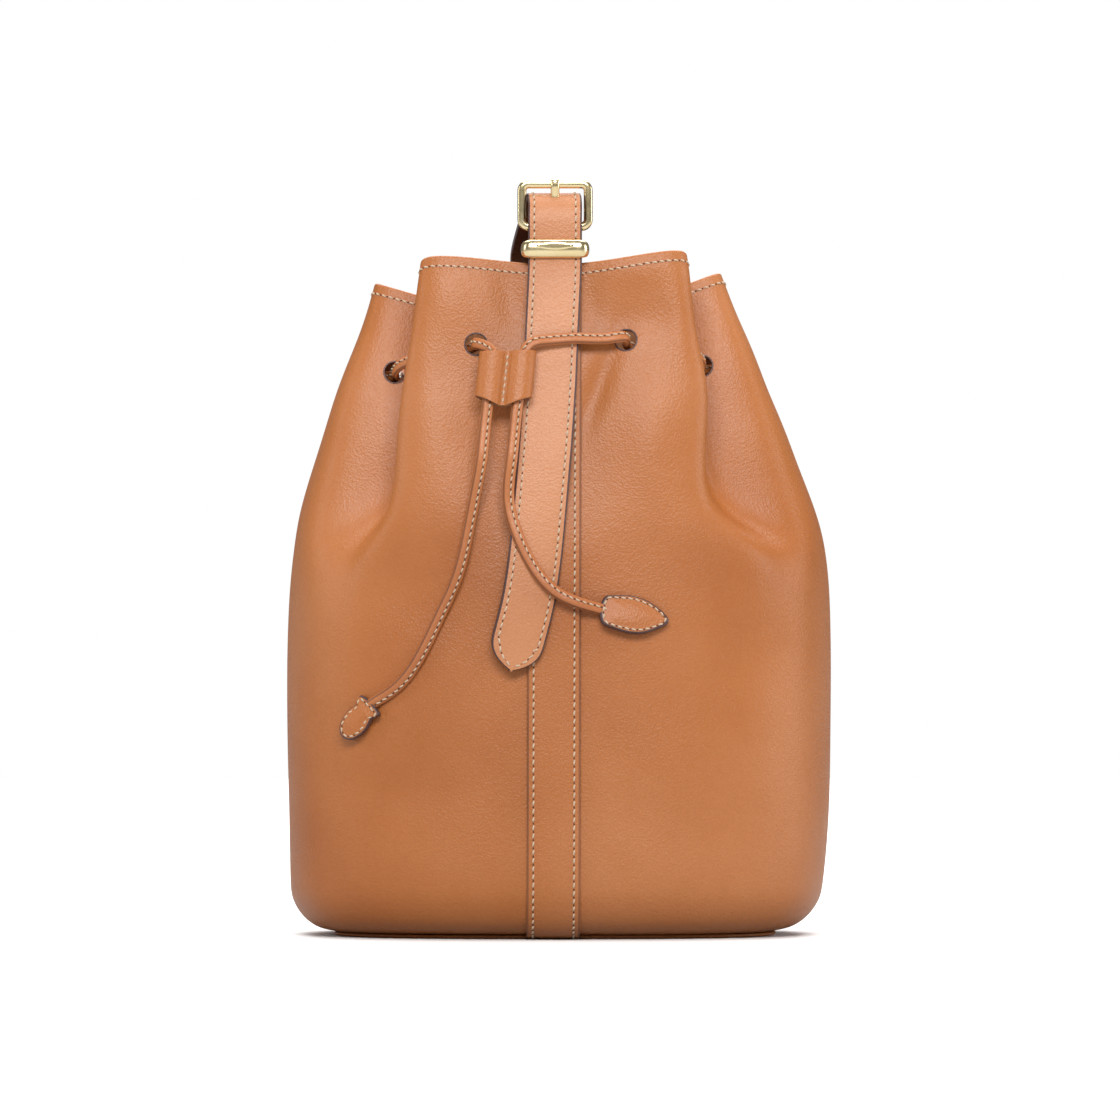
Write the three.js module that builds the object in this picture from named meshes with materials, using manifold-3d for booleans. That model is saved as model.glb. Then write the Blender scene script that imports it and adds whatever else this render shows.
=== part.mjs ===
// Drawstring bucket bag in smooth leather. Millimetres, +Z up, the front faces -Y.
// The origin is the middle of the underside of the base.
import * as THREE from 'three';
import Module from 'manifold-3d';
import { LoftGeometry } from 'three/addons/geometries/LoftGeometry.js';
import { mergeVertices } from 'three/addons/utils/BufferGeometryUtils.js';

const wasm = await Module();
wasm.setup();

// ---- driving dimensions
const GAP = 0.3; // air left between neighbouring pieces
const HALF_WIDTH = 151; // of the bag at its widest
const HALF_DEPTH = 88;
const SQUARENESS = 2.6; // exponent of the plan outline, 2 is an ellipse
const BASE_ROUND = 27; // radius where the wall turns in under the bag
const BASE_THICK = 2;
const BOARD_THICK = 2;
const BOARD_INSET = 7; // the board stops inside the turned-in edge of the wall
const BASE_LINING_THICK = 1;
const LEATHER = 2; // body leather
const LINING = 1.2;
const WALL_START = BASE_THICK + GAP;
const SEAM_INSET = 3; // the base seam lies this much further in than the rounding
const FACING_SLACK = 2.6; // room between the two layers of the wall for the folds of the leather

const STRAP_WIDTH = 29.4;
const PLY = 1.75; // each of the two plies of the shoulder strap
const STRIP_WIDTH = 29;
const STRIP_THICK = 2.4;

const BAR_RADIUS = 2.4; // buckle frame
const FRAME_WIDTH = 41;
const FRAME_HEIGHT = 28;
const FRAME_CORNER = 6;
const HINGE = { y: -60.8, z: 389.4 }; // axis of the bar that the buckle swings on
const PRONG_RADIUS = 1.6;
const HINGE_PLAY = 0.8; // radial air between the hinge bar and the leather wrapped round it
const PRONG_SWEEP = [-8, -4, 0, 4, 8]; // degrees of prong swing the strap hole lets through

const KEEPER = { width: 36.6, height: 12.6, wall: 1.8, z: 377.1, back: -54.7, front: -71.6 };

const HOLE_RADIUS = 6;
const CORD_RADIUS = 2.6;
const SLIDER_TILT = 6; // degrees, the sideways lean of the hanging cords under the slider
const CORD_ADVANCE = 0.187; // the cords come this much forward for each mm down the front
const SLIDER = { x: -27, y: -87.8, z: 308, height: 28, pitch: 16.2 };
const BARREL = { outer: [6.9, 5], bore: [5.4, 3.5] };
const CORD_TURN_HEIGHT = 262; // the cord runs straight down the slider to this height
const CORD_END_HEIGHT = 257; // the two loose ends begin here

// Rows of the bag from the base up, on one quarter. Each rib is a vertical line on the leather:
// the middle of the front, half way along it, the corner of the front fold, the valley behind it,
// the corner of the side lobe, and the middle of the side. Each point is [x, depth, height].
const UPPER_ROWS = [
  [[0, 84, 236], [46, 84, 236], [86, 73, 237], [103, 58, 236], [124, 42, 236], [142, 0, 236]],
  [[0, 76, 290], [44, 76.5, 290], [83, 69, 291], [80, 44, 288], [107, 36, 290], [121, 0, 290]],
  [[0, 69.5, 328], [42, 70, 329], [79, 63, 330], [66, 32, 322], [97, 29, 325], [108, 0, 325]],
  [[0, 63.5, 367], [40, 64, 371], [73, 57, 373], [57, 25, 350], [90, 23, 360], [97, 0, 356]],
];
// the same ribs on the plain lower wall, as angles round the superellipse from the side
const RIB_ANGLES = [90, 70, 50, 40, 27, 0];
const BACK_RIM_DROP = 14; // the back edge of the mouth sits this much lower than the front
const DROP_START = 200; // height where the back begins to fall behind the front
const RIM = { height: 367, depth: 60 }; // of the middle of the mouth

// ---- materials
const looks = {
  calf: { color: 0xbe7341, roughness: 0.45, metalness: 0 },
  strap: { color: 0xdaa07d, roughness: 0.45, metalness: 0 },
  lining: { color: 0x8a5a38, roughness: 0.9, metalness: 0 },
  dark: { color: 0x5a2a1c, roughness: 0.6, metalness: 0 },
  board: { color: 0x9a8a70, roughness: 0.9, metalness: 0 },
  brass: { color: 0xc8a24a, roughness: 0.2, metalness: 1 },
};

const bag = new THREE.Group();

function addPiece(name, geometry, look) {
  const mesh = new THREE.Mesh(geometry, new THREE.MeshStandardMaterial(looks[look]));
  mesh.name = name;
  bag.add(mesh);
  return mesh;
}

// ---- booleans
function toManifold(geometry) {
  const bare = new THREE.BufferGeometry().copy(geometry);
  bare.deleteAttribute('normal');
  bare.deleteAttribute('uv');
  const merged = mergeVertices(bare, 1e-4);
  return new wasm.Manifold(new wasm.Mesh({
    numProp: 3,
    vertProperties: new Float32Array(merged.attributes.position.array),
    triVerts: new Uint32Array(merged.index.array),
  }));
}

function toGeometry(solid) {
  const mesh = solid.getMesh();
  const geometry = new THREE.BufferGeometry();
  geometry.setAttribute('position', new THREE.BufferAttribute(mesh.vertProperties, 3));
  geometry.setIndex(new THREE.BufferAttribute(mesh.triVerts, 1));
  return geometry;
}

function cut(geometry, ...tools) {
  let solid = toManifold(geometry);
  for (const tool of tools) solid = solid.subtract(toManifold(tool));
  return toGeometry(solid);
}

// ---- the surface of the bag
function plainRow(halfWidth, halfDepth, height) {
  return RIB_ANGLES.map((degrees) => {
    const angle = THREE.MathUtils.degToRad(degrees);
    const power = 2 / SQUARENESS;
    const x = halfWidth * Math.max(Math.cos(angle), 0) ** power;
    return [degrees === 90 ? 0 : x, halfDepth * Math.sin(angle) ** power, height];
  });
}

function roundedRow(degrees) {
  // a row on the rounding between the base and the wall, 0 at the seam and 90 at the top
  const angle = THREE.MathUtils.degToRad(degrees);
  const inset = BASE_ROUND * (1 - Math.sin(angle)) + SEAM_INSET;
  return plainRow(HALF_WIDTH - inset, HALF_DEPTH - inset, WALL_START + BASE_ROUND * (1 - Math.cos(angle)));
}

const quarterRows = [
  roundedRow(0),
  roundedRow(30),
  roundedRow(60),
  plainRow(HALF_WIDTH - SEAM_INSET, HALF_DEPTH - 2, WALL_START + BASE_ROUND),
  plainRow(HALF_WIDTH, HALF_DEPTH, 110),
  plainRow(HALF_WIDTH - 1, HALF_DEPTH, 178),
  ...UPPER_ROWS,
];

// Lay a quarter row out all the way round: front middle, right, back, left.
function fullRow(quarter) {
  const climbed = Math.max((quarter[0][2] - DROP_START) / (RIM.height - DROP_START), 0);
  const drop = BACK_RIM_DROP * climbed;
  const front = quarter.map(([x, y, z]) => new THREE.Vector3(x, -y, z));
  const back = quarter.map(([x, y, z]) => new THREE.Vector3(x, y, z - drop * (y / RIM.depth)));
  const right = [...front, ...back.slice(0, -1).reverse()];
  const left = right.slice(1, -1).reverse().map((p) => new THREE.Vector3(-p.x, p.y, p.z));
  return [...right, ...left];
}

const ribs = [];
const fullRows = quarterRows.map(fullRow);
for (let i = 0; i < fullRows[0].length; i += 1) {
  ribs.push(new THREE.CatmullRomCurve3(fullRows.map((row) => row[i]), false, 'centripetal'));
}

// A closed curve round the bag at a height fraction, 0 at the base seam and 1 at the rim.
function ring(fraction) {
  return new THREE.CatmullRomCurve3(ribs.map((rib) => rib.getPoint(fraction)), true, 'centripetal');
}

// Ring points move inwards by an offset along the surface normal.
function ringPoint(fraction, around, inset) {
  const step = 0.002;
  const here = ring(fraction).getPoint(((around % 1) + 1) % 1);
  const along = ring(fraction).getPoint((around + step) % 1).sub(ring(fraction).getPoint((around + 1 - step) % 1));
  const low = ring(Math.max(fraction - 0.01, 0)).getPoint(around % 1);
  const up = ring(Math.min(fraction + 0.01, 1)).getPoint(around % 1).sub(low);
  const outward = along.cross(up).normalize();
  return here.addScaledVector(outward, -inset);
}

const ROWS = quarterRows.length - 1;
const STEPS = 2 * ROWS; // every layer of the wall bends at the same heights, so the layers nest
const COLUMNS = 20; // round one half

// One half of a wall layer between two steps of height and two insets, open towards X = 0.
function wall({ from, to, outer, inner, half }) {
  const sections = [];
  for (let i = Math.ceil(from); i <= to; i += 1) {
    const fraction = (i === Math.ceil(from) ? from : i) / STEPS;
    const outside = [];
    const inside = [];
    for (let j = 0; j <= COLUMNS; j += 1) {
      const around = (half === 'left' ? 0.5 : 0) + 0.5 * (j / COLUMNS);
      const a = ringPoint(fraction, around, outer);
      const b = ringPoint(fraction, around, inner);
      const side = half === 'left' ? -1 : 1;
      if (j === 0 || j === COLUMNS) {
        a.x = side * GAP / 2;
        b.x = side * GAP / 2;
      }
      outside.push(a);
      inside.push(b);
    }
    sections.push([...outside, ...inside.reverse()]);
  }
  return new LoftGeometry(sections, { closed: true, capStart: true, capEnd: true });
}

// Twelve punched holes: height fraction and place round the bag, right side from front to back.
const HOLES = [[0.889, 0.05], [0.87, 0.125], [0.846, 0.175], [0.846, 0.325], [0.87, 0.375], [0.889, 0.45]];

// Cylinders through the leather, square to it, one for each hole on both sides.
function holeTools() {
  const tools = [];
  for (const [fraction, right] of HOLES) {
    for (const around of [right, 1 - right]) {
      const outside = ringPoint(fraction, around, -4);
      const inside = ringPoint(fraction, around, 7);
      const tool = new THREE.CylinderGeometry(HOLE_RADIUS, HOLE_RADIUS, outside.distanceTo(inside), 10);
      const direction = outside.clone().sub(inside).normalize();
      const turn = new THREE.Quaternion().setFromUnitVectors(new THREE.Vector3(0, 1, 0), direction);
      tool.applyQuaternion(turn);
      const middle = outside.lerp(inside, 0.5);
      tools.push(tool.translate(middle.x, middle.y, middle.z));
    }
  }
  return tools;
}

const punches = holeTools();
const punched = (geometry) => cut(geometry, ...punches);

const FACING_STEP = STEPS - 4; // the mouth facing starts here and the lining ends here
const FACE_OFFSET = LEATHER + FACING_SLACK; // inset of the inner layer of the wall

for (const half of ['right', 'left']) {
  const inside = { outer: FACE_OFFSET, inner: FACE_OFFSET + LINING, half };
  addPiece(`body_panel_${half}`, punched(wall({ from: 0, to: STEPS, outer: 0, inner: LEATHER, half })), 'calf');
  addPiece(`mouth_facing_${half}`, punched(wall({ from: FACING_STEP, to: STEPS, ...inside })), 'calf');
  addPiece(`wall_lining_${half}`, wall({ from: 0, to: FACING_STEP - 1, ...inside }), 'lining');
}

// ---- base
function plate(halfWidth, halfDepth, thickness, z) {
  const outline = [];
  for (let i = 0; i < 40; i += 1) {
    const angle = (i / 40) * 2 * Math.PI;
    const power = 2 / SQUARENESS;
    outline.push(new THREE.Vector2(
      halfWidth * Math.sign(Math.cos(angle)) * Math.abs(Math.cos(angle)) ** power,
      halfDepth * Math.sign(Math.sin(angle)) * Math.abs(Math.sin(angle)) ** power,
    ));
  }
  const geometry = new THREE.ExtrudeGeometry(new THREE.Shape(outline), { depth: thickness, bevelEnabled: false });
  return geometry.translate(0, 0, z);
}

const seamWidth = HALF_WIDTH - BASE_ROUND - SEAM_INSET;
const seamDepth = HALF_DEPTH - BASE_ROUND - SEAM_INSET;
addPiece('base_panel', plate(seamWidth + 2, seamDepth + 2, BASE_THICK, 0), 'calf');
addPiece('base_board', plate(seamWidth - BOARD_INSET, seamDepth - BOARD_INSET, BOARD_THICK, BASE_THICK + GAP), 'board');
addPiece('base_lining', plate(
  seamWidth - BOARD_INSET, seamDepth - BOARD_INSET, BASE_LINING_THICK, BASE_THICK + BOARD_THICK + 2 * GAP,
), 'lining');

// ---- bands of leather along a centre line, X is the direction across the band
function band(points, widths, thickness, shift = 0, steps = 24) {
  const curve = new THREE.CatmullRomCurve3(points, false, 'centripetal');
  const across = new THREE.Vector3(1, 0, 0);
  const sections = [];
  for (let i = 0; i <= steps; i += 1) {
    const t = i / steps;
    const centre = curve.getPoint(t);
    const tangent = curve.getTangent(t);
    const side = across.clone().addScaledVector(tangent, -across.dot(tangent)).normalize();
    const normal = new THREE.Vector3().crossVectors(tangent, side).normalize();
    const place = t * (widths.length - 1);
    const low = Math.min(Math.floor(place), widths.length - 2);
    const width = THREE.MathUtils.lerp(widths[low], widths[low + 1], place - low);
    const corner = (w, n) => centre.clone().addScaledVector(side, w * width / 2)
      .addScaledVector(normal, shift + n * thickness / 2);
    sections.push([corner(-1, -1), corner(1, -1), corner(1, 1), corner(-1, 1)]);
  }
  return new LoftGeometry(sections, { closed: true, capStart: true, capEnd: true });
}

const v = (x, y, z) => new THREE.Vector3(x, y, z);

// ---- strips sewn up the middle of the front and of the back
function stripPoints(around, from, to, count) {
  const points = [];
  for (let i = 0; i <= count; i += 1) {
    const p = ringPoint(from + (to - from) * (i / count), around, -(3 * GAP + STRIP_THICK / 2));
    points.push(v(0, p.y, p.z));
  }
  return points;
}

// The front strip stands up above the rim, wraps the hinge bar of the buckle and comes down inside.
const wrapRadius = BAR_RADIUS + HINGE_PLAY + STRIP_THICK / 2;
const wrap = [180, 150, 120, 90, 60, 30, 0].map((degrees) => {
  const angle = THREE.MathUtils.degToRad(degrees);
  return v(0, HINGE.y + wrapRadius * Math.cos(angle), HINGE.z + wrapRadius * Math.sin(angle));
});
const stripUp = stripPoints(0, 0.1, 0.985, 16);
const chapeDown = [v(0, HINGE.y + wrapRadius, 378), v(0, -56.1, 368), v(0, -57.5, 352), v(0, -59.2, 340)];
const frontStripPath = [...stripUp, v(0, HINGE.y - wrapRadius, 378), ...wrap, ...chapeDown];
const frontStrip = band(frontStripPath, [STRIP_WIDTH, STRIP_WIDTH], STRIP_THICK, 0, 56);
const prongSlot = new THREE.BoxGeometry(2 * (PRONG_RADIUS + HINGE_PLAY), 16, 17).translate(0, HINGE.y, HINGE.z);
addPiece('front_strip', cut(frontStrip, prongSlot), 'calf');
addPiece('back_strip', band(stripPoints(0.5, 0.1, 0.985, 16), [STRIP_WIDTH, STRIP_WIDTH], STRIP_THICK, 0, 24), 'calf');

// ---- buckle
function roundedRectangle(width, height, radius) {
  const shape = new THREE.Shape();
  const [x, y] = [width / 2, height / 2];
  shape.absarc(x - radius, y - radius, radius, 0, Math.PI / 2);
  shape.absarc(radius - x, y - radius, radius, Math.PI / 2, Math.PI);
  shape.absarc(radius - x, radius - y, radius, Math.PI, 1.5 * Math.PI);
  shape.absarc(x - radius, radius - y, radius, 1.5 * Math.PI, 2 * Math.PI);
  return shape;
}

function frameGeometry() {
  const bevel = 1.4;
  const outer = roundedRectangle(FRAME_WIDTH - 2 * bevel, FRAME_HEIGHT - 2 * bevel, FRAME_CORNER - bevel);
  const inset = 4 * BAR_RADIUS - 2 * bevel;
  const hole = roundedRectangle(FRAME_WIDTH - inset, FRAME_HEIGHT - inset, FRAME_CORNER - BAR_RADIUS);
  outer.holes.push(hole);
  const geometry = new THREE.ExtrudeGeometry(outer, {
    depth: 2 * (BAR_RADIUS - bevel), bevelThickness: bevel, bevelSize: bevel, bevelSegments: 1, curveSegments: 3,
  });
  geometry.translate(0, 0, bevel - BAR_RADIUS);
  geometry.rotateX(Math.PI / 2);
  return geometry.translate(0, HINGE.y, HINGE.z - BAR_RADIUS + FRAME_HEIGHT / 2);
}
addPiece('buckle_frame', frameGeometry(), 'brass');

// The prong is a ring round the hinge bar and a rod that rests on the front of the top bar.
const topBar = v(0, HINGE.y, HINGE.z + FRAME_HEIGHT - 2 * BAR_RADIUS);
const prongTip = v(0, topBar.y - BAR_RADIUS - PRONG_RADIUS - 2 * GAP, topBar.z + 2.5);
const prongLean = Math.atan2(HINGE.y - prongTip.y, prongTip.z - HINGE.z);

function prongRod(radius, from, to, swing = 0) {
  // a round rod in the prong's own direction, between two distances from the hinge
  const rod = new THREE.CapsuleGeometry(radius, to - from - 2 * radius, 3, 8);
  rod.rotateX(Math.PI / 2);
  rod.translate(0, 0, (from + to) / 2);
  rod.rotateX(prongLean + THREE.MathUtils.degToRad(swing));
  return rod.translate(0, HINGE.y, HINGE.z);
}

function prongGeometry() {
  const ringShape = new THREE.Shape().absarc(0, 0, BAR_RADIUS + 2.5, 0, 2 * Math.PI);
  ringShape.holes.push(new THREE.Path().absarc(0, 0, BAR_RADIUS + 0.7, 0, 2 * Math.PI));
  const ringGeometry = new THREE.ExtrudeGeometry(ringShape, {
    depth: 2 * PRONG_RADIUS, bevelEnabled: false, curveSegments: 10,
  });
  ringGeometry.translate(0, 0, -PRONG_RADIUS);
  ringGeometry.rotateY(Math.PI / 2);
  ringGeometry.translate(0, HINGE.y, HINGE.z);
  const length = prongTip.distanceTo(v(0, HINGE.y, HINGE.z));
  const rod = prongRod(PRONG_RADIUS, BAR_RADIUS + 1, length);
  return toGeometry(toManifold(ringGeometry).add(toManifold(rod)));
}
addPiece('buckle_prong', prongGeometry(), 'brass');

// ---- keeper: a rectangular loop round the strap and the stand-up part of the front strip
function keeperGeometry() {
  const depth = KEEPER.back - KEEPER.front;
  const outer = roundedRectangle(KEEPER.width, depth + 2 * KEEPER.wall, 3);
  outer.holes.push(roundedRectangle(KEEPER.width - 2 * KEEPER.wall, depth, 1.4));
  const geometry = new THREE.ExtrudeGeometry(outer, { depth: KEEPER.height, bevelEnabled: false, curveSegments: 4 });
  return geometry.translate(0, (KEEPER.back + KEEPER.front) / 2, KEEPER.z - KEEPER.height / 2);
}
addPiece('keeper_loop', keeperGeometry(), 'brass');

// ---- shoulder strap: two plies, a light face and a dark back
const plyShift = PLY / 2 + 0.2; // half of each ply, and the air between them

function addStrap(name, points, widths, steps, faceSide, holes = []) {
  const face = band(points, widths, PLY, faceSide * plyShift, steps);
  const back = band(points, widths, PLY, -faceSide * plyShift, steps);
  addPiece(`${name}_face`, holes.length ? cut(face, ...holes) : face, 'strap');
  addPiece(`${name}_back`, holes.length ? cut(back, ...holes) : back, 'dark');
}

// over the buckle: from inside the keeper up through the frame, across the mouth, over the back rim
const strapOver = [
  v(0, -69.1, 371.6), v(0, -69.1, 380), v(0, -69.1, 389), v(0, -68.3, 396), v(0, -65.4, 402),
  v(-0.6, -60, 405.4), v(-1.4, -53, 404.6), v(-2.6, -45, 400.6), v(-4.6, -34, 393.6), v(-8, -14, 382), v(-10, 18, 371),
  v(-8, 44, 366), v(-4, 62, 362.5), v(0, 75, 356), v(0, 81.5, 347),
];
const strapHole = PRONG_SWEEP.map((swing) => prongRod(PRONG_RADIUS + 0.7, 6, 24, swing));
addStrap('strap_over', strapOver, [STRAP_WIDTH, STRAP_WIDTH], 50, -1, strapHole);

// the free end hangs down the front to a pointed tip
const strapTail = [
  v(-0.1, -69.1, 369), v(-1.2, -72.4, 348), v(-2, -76.2, 325), v(-4.6, -82.2, 290), v(-7.6, -88.5, 250),
  v(-10.2, -92.3, 215), v(-13.6, -93.9, 190), v(-17.4, -94.3, 172), v(-24.2, -94.4, 148),
];
const tailWidths = [...Array(8).fill(STRAP_WIDTH), 2];
addStrap('strap_tail', strapTail, tailWidths, 24, 1);

// the long loop that hangs down behind the bag, drawn from the back strip round to the rim
const strapLoop = [
  v(0, 77, 336), v(0, 81.5, 316), v(0, 88.5, 270), v(0, 94, 200), v(0, 95.5, 130), v(0, 94.5, 95),
  v(0, 96.5, 79), v(0, 102, 71), v(0, 108, 79), v(0, 109.5, 95), v(0, 104.5, 130), v(0, 101, 200),
  v(0, 95, 270), v(0, 87.5, 316), v(0, 83, 336),
];
addStrap('strap_loop', strapLoop, [STRAP_WIDTH, STRAP_WIDTH], 42, 1);

// ---- drawcord
// down the cords, for each mm of height
const hang = v(-Math.tan(THREE.MathUtils.degToRad(SLIDER_TILT)), -CORD_ADVANCE, -1);

function hangPoint(side, z) {
  const point = v(SLIDER.x + side * SLIDER.pitch / 2, SLIDER.y, SLIDER.z);
  return point.addScaledVector(hang, SLIDER.z - z);
}

// the weave of the right side from the front hole to the back hole
function weave() {
  const points = [];
  const [front, flank, lobe, backLobe, backFlank, back] = HOLES;
  points.push(ringPoint(...front, -7), ringPoint(...front, 2), ringPoint(...front, 10));
  points.push(ringPoint(...flank, 9), ringPoint(...flank, 2));
  points.push(ringPoint(...flank, -8).lerp(ringPoint(...lobe, -9), 0.5));
  points.push(ringPoint(...lobe, 2), ringPoint(...lobe, 10));
  points.push(ringPoint(lobe[0], 0.25, 14));
  points.push(ringPoint(...backLobe, 10), ringPoint(...backLobe, 2));
  points.push(ringPoint(...backFlank, -8).lerp(ringPoint(...backLobe, -9), 0.5));
  points.push(ringPoint(...backFlank, 2), ringPoint(...backFlank, 9));
  points.push(ringPoint(...back, 10), ringPoint(...back, 2), ringPoint(...back, -7));
  return points;
}

const cordSection = new THREE.Shape([0, 1, 2, 3, 4, 5].map((side) => (
  new THREE.Vector2(CORD_RADIUS, 0).rotateAround(new THREE.Vector2(), side * Math.PI / 3)
)));

function cord(points, steps) {
  return new THREE.ExtrudeGeometry(cordSection, {
    steps, bevelEnabled: false, extrudePath: new THREE.CatmullRomCurve3(points, false, 'centripetal'),
  });
}

const rightWeave = weave();
const leftWeave = rightWeave.map((p) => v(-p.x, p.y, p.z));
const cordPath = [
  hangPoint(1, CORD_TURN_HEIGHT), hangPoint(1, 280), hangPoint(1, 300), hangPoint(1, 322),
  v(-6, -82.6, 331), v(12, -81, 331.5), v(28, -79.8, 330),
  ...rightWeave,
  v(20, 76.4, 317), v(-20, 76.4, 317),
  ...leftWeave.reverse(),
  hangPoint(-1, 322), hangPoint(-1, 300), hangPoint(-1, 280), hangPoint(-1, CORD_TURN_HEIGHT),
];
addPiece('drawcord', cord(cordPath, 130), 'calf');

const cordEndLeft = [
  hangPoint(-1, CORD_END_HEIGHT), v(-44, -94.4, 240), v(-49.5, -93.4, 207), v(-61.6, -91.5, 179), v(-72.6, -89.5, 155.7),
  v(-85, -85.5, 138.6), v(-98, -80.5, 129.6),
];
const cordEndRight = [
  hangPoint(1, CORD_END_HEIGHT), v(-24.8, -97.4, 241.5), v(-21.5, -99.4, 220), v(-16, -100.4, 207), v(-7.7, -100.6, 194),
  v(1, -100.4, 189), v(13, -99.2, 185), v(24.6, -93.8, 180.6),
];
addPiece('cord_end_left', cord(cordEndLeft, 18), 'calf');
addPiece('cord_end_right', cord(cordEndRight, 18), 'calf');

// ---- leaf-shaped tabs sewn over the cord ends, drawn along +X from the neck
function leaf(points) {
  const shape = new THREE.Shape(points.map(([x, y]) => new THREE.Vector2(x, y)));
  const geometry = new THREE.ExtrudeGeometry(shape, { depth: 4.2, bevelEnabled: false });
  geometry.translate(0, 0, -2.1);
  return geometry.rotateX(Math.PI / 2);
}

const longLeaf = leaf([[0, -7.5], [12, -9.6], [26, -8.2], [37, -1], [37, 1], [26, 8.2], [12, 9.6], [0, 7.5]]);
const shortLeaf = leaf([[0, -9], [3, -7], [14, -7.6], [20, -5.6], [23, 0], [20, 5.6], [14, 7.6], [3, 7], [0, 9]]);
const rightTab = addPiece('end_tab_right', longLeaf, 'calf');
rightTab.rotation.set(0, 0.16, 0.05);
rightTab.position.set(26, -92.4, 180.4);
const leftTab = addPiece('end_tab_left', shortLeaf, 'calf');
leftTab.rotation.set(0, Math.PI - 0.75, -0.52);
leftTab.position.set(-99.6, -79.9, 128.4);

// ---- slider: a strip folded into two barrels and sewn down the middle
function sliderGeometry() {
  const outline = [];
  const bore = (side) => new THREE.Path().absellipse(
    side * SLIDER.pitch / 2, 0, BARREL.bore[0], BARREL.bore[1], 0, 2 * Math.PI,
  );
  for (const side of [1, -1]) {
    for (let degrees = -140; degrees <= 140; degrees += 28) {
      const angle = THREE.MathUtils.degToRad(degrees);
      outline.push(new THREE.Vector2(
        side * (SLIDER.pitch / 2 + BARREL.outer[0] * Math.cos(angle)), side * BARREL.outer[1] * Math.sin(angle),
      ));
    }
  }
  const shape = new THREE.Shape(outline);
  shape.holes.push(bore(1), bore(-1));
  const geometry = new THREE.ExtrudeGeometry(shape, { depth: SLIDER.height, bevelEnabled: false, curveSegments: 8 });
  return geometry.translate(0, 0, -SLIDER.height / 2);
}
const slider = addPiece('cord_slider', sliderGeometry(), 'calf');
slider.quaternion.setFromUnitVectors(v(0, 0, 1), hang.clone().negate().normalize());
slider.position.set(SLIDER.x, SLIDER.y, SLIDER.z);

export default bag;
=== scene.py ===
"""Studio scene of a drawstring bucket bag in smooth tan leather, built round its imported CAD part.

The shapes are made in millimetres, with the middle of the underside at the origin and the front
facing -Y, and are turned into metres when a mesh is made.
"""

import math

import bmesh
import bpy
import numpy as np
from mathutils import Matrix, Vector


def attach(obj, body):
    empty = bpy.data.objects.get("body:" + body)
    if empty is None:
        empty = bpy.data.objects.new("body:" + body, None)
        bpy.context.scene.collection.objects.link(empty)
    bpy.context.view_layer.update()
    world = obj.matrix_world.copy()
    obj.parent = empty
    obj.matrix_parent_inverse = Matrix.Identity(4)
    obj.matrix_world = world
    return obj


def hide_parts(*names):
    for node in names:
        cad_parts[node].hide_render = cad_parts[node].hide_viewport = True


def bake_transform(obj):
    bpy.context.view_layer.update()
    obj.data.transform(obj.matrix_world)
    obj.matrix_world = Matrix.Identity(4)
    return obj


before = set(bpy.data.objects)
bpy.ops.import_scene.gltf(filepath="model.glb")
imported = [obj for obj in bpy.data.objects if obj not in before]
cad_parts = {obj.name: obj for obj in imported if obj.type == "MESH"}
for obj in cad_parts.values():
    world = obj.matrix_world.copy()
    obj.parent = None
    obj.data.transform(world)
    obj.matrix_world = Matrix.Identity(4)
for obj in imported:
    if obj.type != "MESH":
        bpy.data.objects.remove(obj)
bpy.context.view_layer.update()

MM = 0.001

# ---------------------------------------------------------------- dimensions, millimetres
HALF_WIDTH = 149.5
HALF_DEPTH = 88.0
SQUARENESS = 2.6
BASE_ROUND = 27.0  # radius where the wall turns in under the bag
WALL_START = 2.3  # height of the seam between the base and the wall
SEAM_INSET = 3.0
LEATHER = 2.0
WALL = 3.4  # body leather and mouth facing together
HEM = 4.4  # from the rim down to the hem stitches
STITCH = 4.5  # from one stitch to the next
SHORT_STITCH = 4.0  # on the rim, the cords and the slider
HOLE_RADIUS = 6.1
STRAP_WIDTH = 29.4
STRAP_THICK = 3.9
STRAP_LIFT = STRAP_THICK / 2 + 0.08  # from the middle of the strap to its stitches
STRIP_WIDTH = 29.0
STRIP_THICK = 2.2
STRIP_LIFT = STRIP_THICK / 2 + 0.1  # from the middle of a strip to its stitches, and down to the wall
EDGE_INSET = 3.4  # from the edge of a strap to its stitches
CORD_WIDTH = 6.4
CORD_THICK = 4.2
BAR = 2.4  # radius of the bars of the buckle
FRAME_WIDTH = 41.0
FRAME_HEIGHT = 28.0
HINGE_Y = -60.8  # the bar that the buckle swings on
HINGE_Z = 389.4
SLIDER = np.array([-27.0, -88.3, 308.0])
SLIDER_HALF = 14.0
PITCH = 16.2  # between the two cords in the slider

UP = np.array([0.0, 0.0, 1.0])
X_AXIS = np.array([1.0, 0.0, 0.0])
Y_AXIS = np.array([0.0, 1.0, 0.0])


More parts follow.
